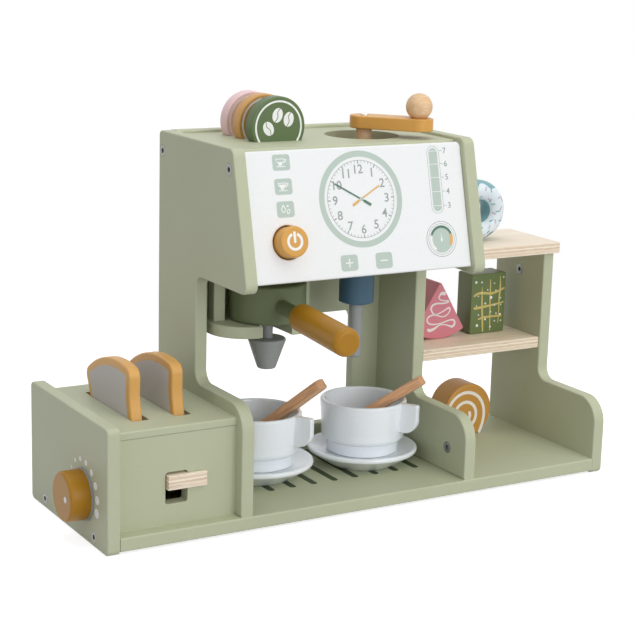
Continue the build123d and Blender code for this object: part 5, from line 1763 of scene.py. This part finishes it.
@dataclass
class Doughnut:
    """The iced ring doughnut; limits and waves of its icing are degrees round the dough."""

    radius: float = 25.1
    hole: float = 16.0
    thick: float = 23.0
    inner_limit: float = -56.0
    outer_limit: float = 36.0
    wave: float = 15.0
    waves: int = 8
    wave_start: float = 1.15
    slow_wave: float = 0.2
    slow_waves: int = 2
    slow_start: float = 0.5
    icing_thick: float = 0.3
    icing_lift: float = 0.02
    icing_round: float = 0.12
    ring_steps: int = 120
    dough_steps: int = 48
    sprinkle: Triple = (3.4, 1.1, 0.35)
    sprinkle_lift: float = 0.03
    sprinkle_round: float = 0.33
    sprinkles: int = 30
    sprinkle_rows: tuple[int, ...] = (-30, -12, 6, 18)
    row_drift: float = 5.0
    turn_drift: float = 0.1
    seed: int = 7

    @property
    def tube(self) -> float:
        """The dough's radius across the ring."""
        return (self.radius - self.hole / 2) / 2

    def spot(self, turn: float, lean: float, lift: float) -> Vector:
        """Finds a point over the ring.

        Args:
            turn: How far round the ring it is, in radians.
            lean: How far round the dough it is, in radians, with nought at the front.
            lift: How far over the dough it is, in millimetres.

        Returns:
            The point in metres, counted from the ring's middle.
        """
        reach = self.hole / 2 + self.tube + (self.tube + lift) * sin(lean)
        depth = (self.thick / 2 + lift) * cos(lean)
        return Vector((reach * cos(turn), -depth, reach * sin(turn))) * MM

    def limit(self, turn: float) -> float:
        """Finds the icing's wavy outer limit.

        Args:
            turn: How far round the ring, in radians.

        Returns:
            The limit there, as a lean in radians.
        """
        quick = sin(self.waves * turn + self.wave_start)
        slow = self.slow_wave * sin(self.slow_waves * turn + self.slow_start)
        return radians(self.outer_limit + self.wave * (quick + slow))

    def build(self, station: Station) -> None:
        """Paints the dough and makes its icing and sprinkles.

        Args:
            station: The station to dress.
        """
        station.paint(Finish.TEAL, "donut")
        low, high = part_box("donut")
        centre = (low + high) / 2
        self.make_icing(station, centre)
        self.scatter(station, centre)

    def make_icing(self, station: Station, centre: Vector) -> None:
        """Shapes the icing from the front of a ring and gives it a thickness.

        Args:
            station: The station to dress.
            centre: The ring's middle.
        """
        mid = (self.hole / 2 + self.tube) * MM
        bpy.ops.mesh.primitive_torus_add(
            major_radius=mid,
            minor_radius=self.tube * MM,
            major_segments=self.ring_steps,
            minor_segments=self.dough_steps,
            rotation=(pi / 2, 0, 0),
        )
        icing = bpy.context.object
        settle(icing)

        def lean_of(spot: Vector) -> float:
            """The lean of a point round the dough."""
            return atan2(Vector((spot.x, spot.z)).length - mid, -spot.y)

        low, high = radians(self.inner_limit), radians(self.outer_limit)
        pick_faces(icing, lambda face: not low < lean_of(face.center) < high)
        edit(icing, lambda: bpy.ops.mesh.delete(type="FACE"))
        leans = [lean_of(v.co) for v in icing.data.vertices]
        span = max(leans)
        for corner, lean in zip(icing.data.vertices, leans):
            turn = atan2(corner.co.z, corner.co.x)
            share = max(lean, 0.0) / span
            lean += share * (self.limit(turn) - span)
            corner.co = self.spot(turn, lean, self.icing_lift)
        close_up(icing)
        modify(icing, "SOLIDIFY", thickness=self.icing_thick * MM, offset=1.0)
        round_edges(icing, self.icing_round * MM)
        icing.data.transform(Matrix.Translation(centre))
        icing.name = icing.data.name = "donut_icing"
        smooth_shade(icing, 50)
        station.add(icing, "ring_cake", "teal_paint", Finish.ICING)

    def scatter(self, station: Station, centre: Vector) -> None:
        """Scatters two colours of sprinkles over the icing.

        Args:
            station: The station to dress.
            centre: The ring's middle.
        """
        rng = Random(self.seed)
        colours = (("sea", Finish.INK_SEA, 0.0), ("mauve", Finish.INK_MAUVE, 0.5))
        for colour, finish, start in colours:
            sprinkle = self.make_sprinkle()
            grains = []
            for i in range(self.sprinkles // 2):
                drift = rng.uniform(-self.turn_drift, self.turn_drift)
                turn = tau * (i + start) * 2 / self.sprinkles + drift
                row = rng.choice(self.sprinkle_rows)
                lean = radians(row + rng.uniform(-self.row_drift, self.row_drift))
                spot = self.spot(turn, lean, self.icing_thick + self.sprinkle_lift)
                out = (self.spot(turn, lean, 2.0) - self.spot(turn, lean, 0.0)).normalized()
                basis = out.to_track_quat("Z", "Y").to_matrix().to_4x4()
                spun = Matrix.Rotation(rng.uniform(0, pi), 4, "Z")
                grain = copy_of(sprinkle, f"donut_{colour}_grain")
                grain.data.transform(Matrix.Translation(spot) @ basis @ spun)
                grains.append(grain)
            bpy.data.objects.remove(sprinkle)
            piece = joined(grains, f"donut_{colour}_sprinkles")
            piece.data.transform(Matrix.Translation(centre))
            smooth_shade(piece, 60)
            station.add(piece, "ring_cake", "teal_paint", finish)

    def make_sprinkle(self) -> bpy.types.Object:
        """Makes one sprinkle at the origin, to copy.

        Returns:
            The sprinkle.
        """
        length, width, height = self.sprinkle
        bpy.ops.mesh.primitive_cube_add(size=1.0)
        sprinkle = bpy.context.object
        choose(sprinkle)
        bpy.ops.transform.resize(value=(length * MM, width * MM, height * MM))
        settle(sprinkle)
        round_edges(sprinkle, self.sprinkle_round * MM, 3)
        return sprinkle


@dataclass(frozen=True)
class Topping:
    """What is brushed on a cake: the cake's body and slot, the ink, and how it lies."""

    body: str
    slot: str
    ink: Finish
    thick: float = 0.1
    proud: float = 0.02

    def lay(
        self, station: Station, face: Face, name: str, path: Sequence[Triple], lift: float = 0.0
    ) -> None:
        """Lays one brush stroke: a ribbon of changing width, thickened.

        Args:
            station: The station to dress.
            face: The face it lies on.
            name: The piece's name.
            path: Points along the stroke's middle, each with the width there.
            lift: How far it is lifted over other strokes.
        """
        piece = ribbon(name, smooth(path, 6))
        piece.data.transform(face.matrix() @ Matrix.Translation((0, 0, lift + self.proud)))
        modify(piece, "SOLIDIFY", thickness=self.thick * MM, offset=0.0)
        station.add(piece, self.body, self.slot, self.ink)


@dataclass
class Cakes:
    """The wedge, the square cake and the roll, each printed on its front."""

    drizzle: tuple[Triple, ...] = (
        (4.0, 38.0, 3.0), (1.2, 38.4, 2.5), (-0.8, 36.4, 1.3), (-1.4, 34.7, 1.0), (0.4, 33.0, 1.0),
        (3.8, 32.0, 1.0), (7.6, 31.6, 1.2), (8.2, 30.6, 1.3), (5.6, 30.0, 1.2), (1.7, 29.9, 1.3),
        (-2.8, 30.2, 1.5), (-6.6, 29.4, 1.7), (-8.7, 27.0, 1.6), (-8.2, 24.4, 1.4),
        (-6.3, 22.0, 1.2), (-3.7, 21.0, 1.0), (-0.7, 21.6, 1.0), (3.7, 23.3, 1.1),
        (8.1, 25.4, 1.4), (9.9, 25.2, 1.5), (10.0, 23.0, 1.3), (8.3, 20.4, 1.1), (5.1, 18.7, 1.0),
        (1.7, 18.7, 1.0), (-2.2, 20.0, 1.0), (-6.2, 20.7, 1.2), (-10.0, 20.1, 1.4),
        (-12.1, 18.0, 1.4), (-11.9, 15.6, 1.3), (-9.7, 13.6, 1.3), (-5.2, 12.7, 1.1),
        (-0.2, 12.8, 1.0), (4.8, 13.8, 1.0), (9.2, 14.8, 1.2), (13.4, 15.0, 1.5),
        (15.4, 13.2, 1.6), (15.2, 10.8, 1.8), (13.2, 9.2, 1.9), (10.4, 10.0, 1.3),
        (7.1, 11.2, 1.0), (3.2, 11.9, 0.9), (-0.1, 11.4, 1.0), (-2.9, 10.0, 1.7), (-6.1, 8.5, 2.3),
        (-9.4, 7.9, 2.7), (-11.0, 8.6, 2.2),
    )  # fmt: skip
    strokes: tuple[tuple[Triple, ...], ...] = (
        ((-6.8, 14.0, 0.6), (-6.5, 3.3, 1.6), (-5.5, -10.4, 1.8), (-4.4, -23.6, 1.4)),
        ((1.4, 19.8, 1.0), (1.7, 8.1, 1.3), (2.2, -6.1, 1.2), (2.9, -23.2, 0.8)),
        (
            (11.4, 22.6, 0.5), (11.9, 12.2, 1.8), (11.2, 3.0, 1.4),
            (11.5, -9.5, 0.9), (11.0, -17.5, 0.8),
        ),
        ((-14.5, 7.3, 1.8), (-9.1, 9.3, 2.2), (2.8, 8.3, 2.2), (10.2, 9.8, 1.8), (15.8, 11.8, 1.5)),
        (
            (-13.8, -3.4, 2.2), (-7.6, -3.1, 2.2), (2.0, -2.1, 1.8),
            (10.8, -1.0, 1.4), (15.8, -0.2, 1.1),
        ),
        ((-9.2, -13.1, 1.4), (-4.9, -12.0, 1.8), (2.5, -11.7, 1.6), (13.8, -11.9, 1.5)),
    )  # fmt: skip
    first_crossing: int = 3
    crossing_lift: float = 0.03
    dots: tuple[Triple, ...] = (
        (-13.3, 18.9, 2.4), (-7.4, 18.5, 1.5), (5.5, 16.7, 1.3), (14.9, 21.3, 1.3),
        (-1.2, 11.6, 1.3), (7.4, 10.5, 1.3), (-7.2, 9.5, 1.1), (-10.5, 6.7, 1.1), (2.7, 4.7, 2.6),
        (12.4, 3.7, 1.3), (-3.0, 0.0, 1.8), (6.6, -2.1, 1.3), (13.2, -2.3, 1.1),
        (-12.0, -1.3, 1.2), (2.8, -7.7, 1.3), (8.7, -9.5, 1.3), (12.9, -10.5, 1.8),
        (-9.6, -9.3, 1.3), (-2.5, -13.7, 1.8), (7.3, -15.9, 1.3), (13.8, -16.1, 1.3),
        (-10.6, -18.4, 2.4), (3.1, -20.6, 1.6),
    )  # fmt: skip
    sugar_lift: float = 0.12
    swirl: Outline = (
        (-46.0, 22.6), (-30.0, 20.8), (0.0, 19.6), (90.0, 19.5), (150.0, 18.3), (200.0, 16.4),
        (250.0, 14.2), (300.0, 12.2), (345.0, 11.4), (450.0, 11.2), (520.0, 10.4), (570.0, 8.0),
        (620.0, 6.4), (680.0, 5.6), (740.0, 5.0),
    )  # fmt: skip
    swirl_centre: Point = (-3.2, -3.2)
    swirl_width: float = 2.7

    def build(self, station: Station) -> None:
        """Paints and prints the three cakes.

        Args:
            station: The station to dress.
        """
        station.paint(Finish.ROSE, "cake_wedge")
        station.paint(Finish.CAKE_GREEN, "cake_block")
        station.paint(Finish.CARAMEL, "cake_roll")
        self.drizzle_wedge(station)
        self.print_block(station)
        self.print_swirl(station)

    def drizzle_wedge(self, station: Station) -> None:
        """Lays the icing's drizzle on the wedge's front, counted from its foot.

        Args:
            station: The station to dress.
        """
        low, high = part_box("cake_wedge")
        face = Face(Vector(((low.x + high.x) / 2, low.y, low.z)), RIGHTWARDS, UPWARDS)
        icing = Topping("wedge_cake", "rose_paint", Finish.INK_DRIZZLE)
        icing.lay(station, face, "wedge_drizzle", self.drizzle)

    def print_block(self, station: Station) -> None:
        """Brushes strokes on the square cake, the level ones over the others, and dots it.

        Args:
            station: The station to dress.
        """
        face = front_face("cake_block")
        straw = Topping("square_cake", "cake_green_paint", Finish.INK_STRAW)
        for i, path in enumerate(self.strokes):
            lift = self.crossing_lift * (i >= self.first_crossing)
            straw.lay(station, face, f"cake_stroke_{i + 1}", path, lift)
        sugar = Print(face, "cake_sugar", self.sugar_lift)
        for x, y, width in self.dots:
            sugar.fill(circle(x, y, width / 2, 20))
        sugar.press(station, "square_cake", "cake_green_paint", Finish.INK_WHITE)

    def print_swirl(self, station: Station) -> None:
        """Lays the filling's swirl on the roll's front, from its angles and radii.

        Args:
            station: The station to dress.
        """
        low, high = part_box("cake_roll")
        radius = (high.x - low.x) / 2
        middle = Vector(((low.x + high.x) / 2, low.y, high.z - radius))
        x, y = self.swirl_centre
        path = [
            (x + r * cos(radians(a)), y + r * sin(radians(a)), self.swirl_width)
            for a, r in smooth(self.swirl, 8)
        ]
        cream = Topping("roll_cake", "caramel_paint", Finish.INK_CREAM)
        cream.lay(station, Face(middle, RIGHTWARDS, UPWARDS), "roll_swirl", path)


# ---------------------------------------------------------------- studio
@dataclass(frozen=True)
class Lamp:
    """A soft square lamp: its place from the object's middle in metres, side, power and tint."""

    name: str
    offset: Triple
    size: float
    power: float
    tint: Triple = (1.0, 1.0, 1.0)

    def hang(self, target: Vector) -> None:
        """Hangs the lamp and aims it.

        Args:
            target: The point it hangs off and looks at.
        """
        lamp = bpy.data.lights.new(self.name, "AREA")
        lamp.shape = "SQUARE"
        lamp.size = self.size
        lamp.energy = self.power
        lamp.color = self.tint
        stand = new_object(self.name, lamp)
        stand.location = target + Vector(self.offset)
        stand.rotation_euler = (-Vector(self.offset)).to_track_quat("-Z", "Y").to_euler()


@dataclass
class Studio:
    """A pale floor, soft lamps and the camera; the floor's reaches are in metres."""

    lens: float = 96.405
    sensor: float = 36.0
    yaw: float = 30.71
    pitch: float = 12.95
    roll: float = 1.56
    eye: Triple = (-443.1, -1020.0, 428.3)
    floor_reach: float = 9.0
    shadow_reach: Point = (0.36, 0.71)
    world_tint: Triple = (0.455, 0.45, 0.46)
    floor_grey: float = 0.6
    floor_glow: float = 0.74
    lamps: tuple[Lamp, ...] = (
        Lamp("front_lamp", (0.15, -1.9, 0.55), 1.0, 12.2, (0.96, 1.0, 1.05)),
        Lamp("key_lamp", (0.75, -1.15, 1.45), 1.3, 8.5, (1.0, 0.99, 0.84)),
        Lamp("top_lamp", (0.0, 0.2, 1.9), 1.3, 11.5, (0.97, 1.0, 1.08)),
        Lamp("left_lamp", (-1.8, -0.6, 0.8), 1.3, 2.5, (0.96, 1.0, 1.08)),
    )

    def build(self, station: Station) -> None:
        """Sets the stage.

        Args:
            station: The station to show.
        """
        self.make_world()
        self.make_floor()
        low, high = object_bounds()
        for lamp in self.lamps:
            lamp.hang((low + high) / 2)
        self.place_camera(station)

    def seen(self, graph: Graph) -> bpy.types.NodeSocket:
        """Marks the rays that see the backdrop: camera, mirror and see-through rays.

        Args:
            graph: The backdrop's graph.

        Returns:
            One for such a ray and nought for others.
        """
        path = graph.node("LightPath").outputs
        through = graph.math("MAXIMUM", path["Is Glossy Ray"], path["Is Transmission Ray"])
        return graph.math("MAXIMUM", path["Is Camera Ray"], through)

    def make_world(self) -> None:
        """Makes a level grey world that looks white to the camera."""
        world = bpy.data.worlds.new("studio")
        world.use_nodes = True
        graph = Graph(world.node_tree)
        colour = graph.mix(self.seen(graph), (*self.world_tint, 1.0), (1.0, 1.0, 1.0, 1.0))
        graph.feed(world.node_tree.nodes["Background"], {"Color": colour})
        bpy.context.scene.world = world

    def make_floor(self) -> None:
        """Lays the floor: the object's shadow falls near by, and farther out it is plain white."""
        bpy.ops.mesh.primitive_plane_add(size=2 * self.floor_reach)
        floor = bpy.context.object
        floor.name = floor.data.name = "floor"
        material, graph, shader = new_material("floor_white")
        grey = (self.floor_grey,) * 3
        sockets = {"Base Color": (*grey, 1.0), "Roughness": 0.9, "Specular IOR Level": 0.0}
        graph.feed(shader, sockets)
        seen = self.seen(graph)
        white = graph.node("Emission", {"Strength": 1.0})
        glow = graph.node("Emission", {"Strength": graph.math("MULTIPLY", seen, self.floor_glow)})
        near = graph.node("AddShader", {0: shader.outputs[0], 1: glow.outputs[0]})
        away = graph.node("VectorMath", {0: graph.place()}, operation="LENGTH").outputs["Value"]
        share = graph.math("MULTIPLY", graph.spread(away, *self.shadow_reach), seen)
        blend = graph.node("MixShader", {0: share, 1: near.outputs[0], 2: white.outputs[0]})
        graph.feed(material.node_tree.nodes["Material Output"], {"Surface": blend.outputs[0]})
        floor.data.materials.append(material)
        floor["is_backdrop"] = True

    def place_camera(self, station: Station) -> None:
        """Stands the camera where it looks along its yaw, pitch and roll.

        Args:
            station: The station whose coordinates the camera's eye is in.
        """
        yaw, pitch, roll = radians(self.yaw), radians(self.pitch), radians(self.roll)
        ahead = Vector((sin(yaw) * cos(pitch), cos(yaw) * cos(pitch), -sin(pitch)))
        right = Vector((cos(yaw), -sin(yaw), 0.0))
        up = right.cross(ahead)
        across = right * cos(roll) + up * sin(roll)
        above = up * cos(roll) - right * sin(roll)
        camera = bpy.data.cameras.new("camera")
        camera.sensor_width = self.sensor
        camera.lens = self.lens
        camera.clip_start = 0.05
        camera.clip_end = 60.0
        stand = new_object("camera", camera)
        turn = turned(across, above, -ahead)
        stand.matrix_world = Matrix.Translation(station.at(*self.eye)) @ turn
        bpy.context.scene.camera = stand
        bpy.context.scene.view_settings.view_transform = "Standard"


def main() -> None:
    """Loads the frame, dresses every sub-assembly and sets the stage."""
    logging.basicConfig(level=logging.INFO, format="%(name)s: %(message)s")
    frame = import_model()
    station = Station(frame["nodes"], {joint["name"]: joint for joint in frame["joints"]})
    panel = Panel()
    assemblies = (
        Carcass(),
        panel,
        Toaster(),
        Crank(),
        CoffeePads(),
        Brewing(),
        CupBay(),
        Shelves(),
        Doughnut(),
        Cakes(),
        PowerButton(panel),
        Coil("button_spring", "button_press", 5, travel=5.0),
        Coil("lift_spring_front", "lift_press", 8),
        Coil("lift_spring_back", "lift_press", 8),
        Studio(),
    )
    for assembly in assemblies:
        assembly.build(station)


if __name__ == "__main__":
    main()
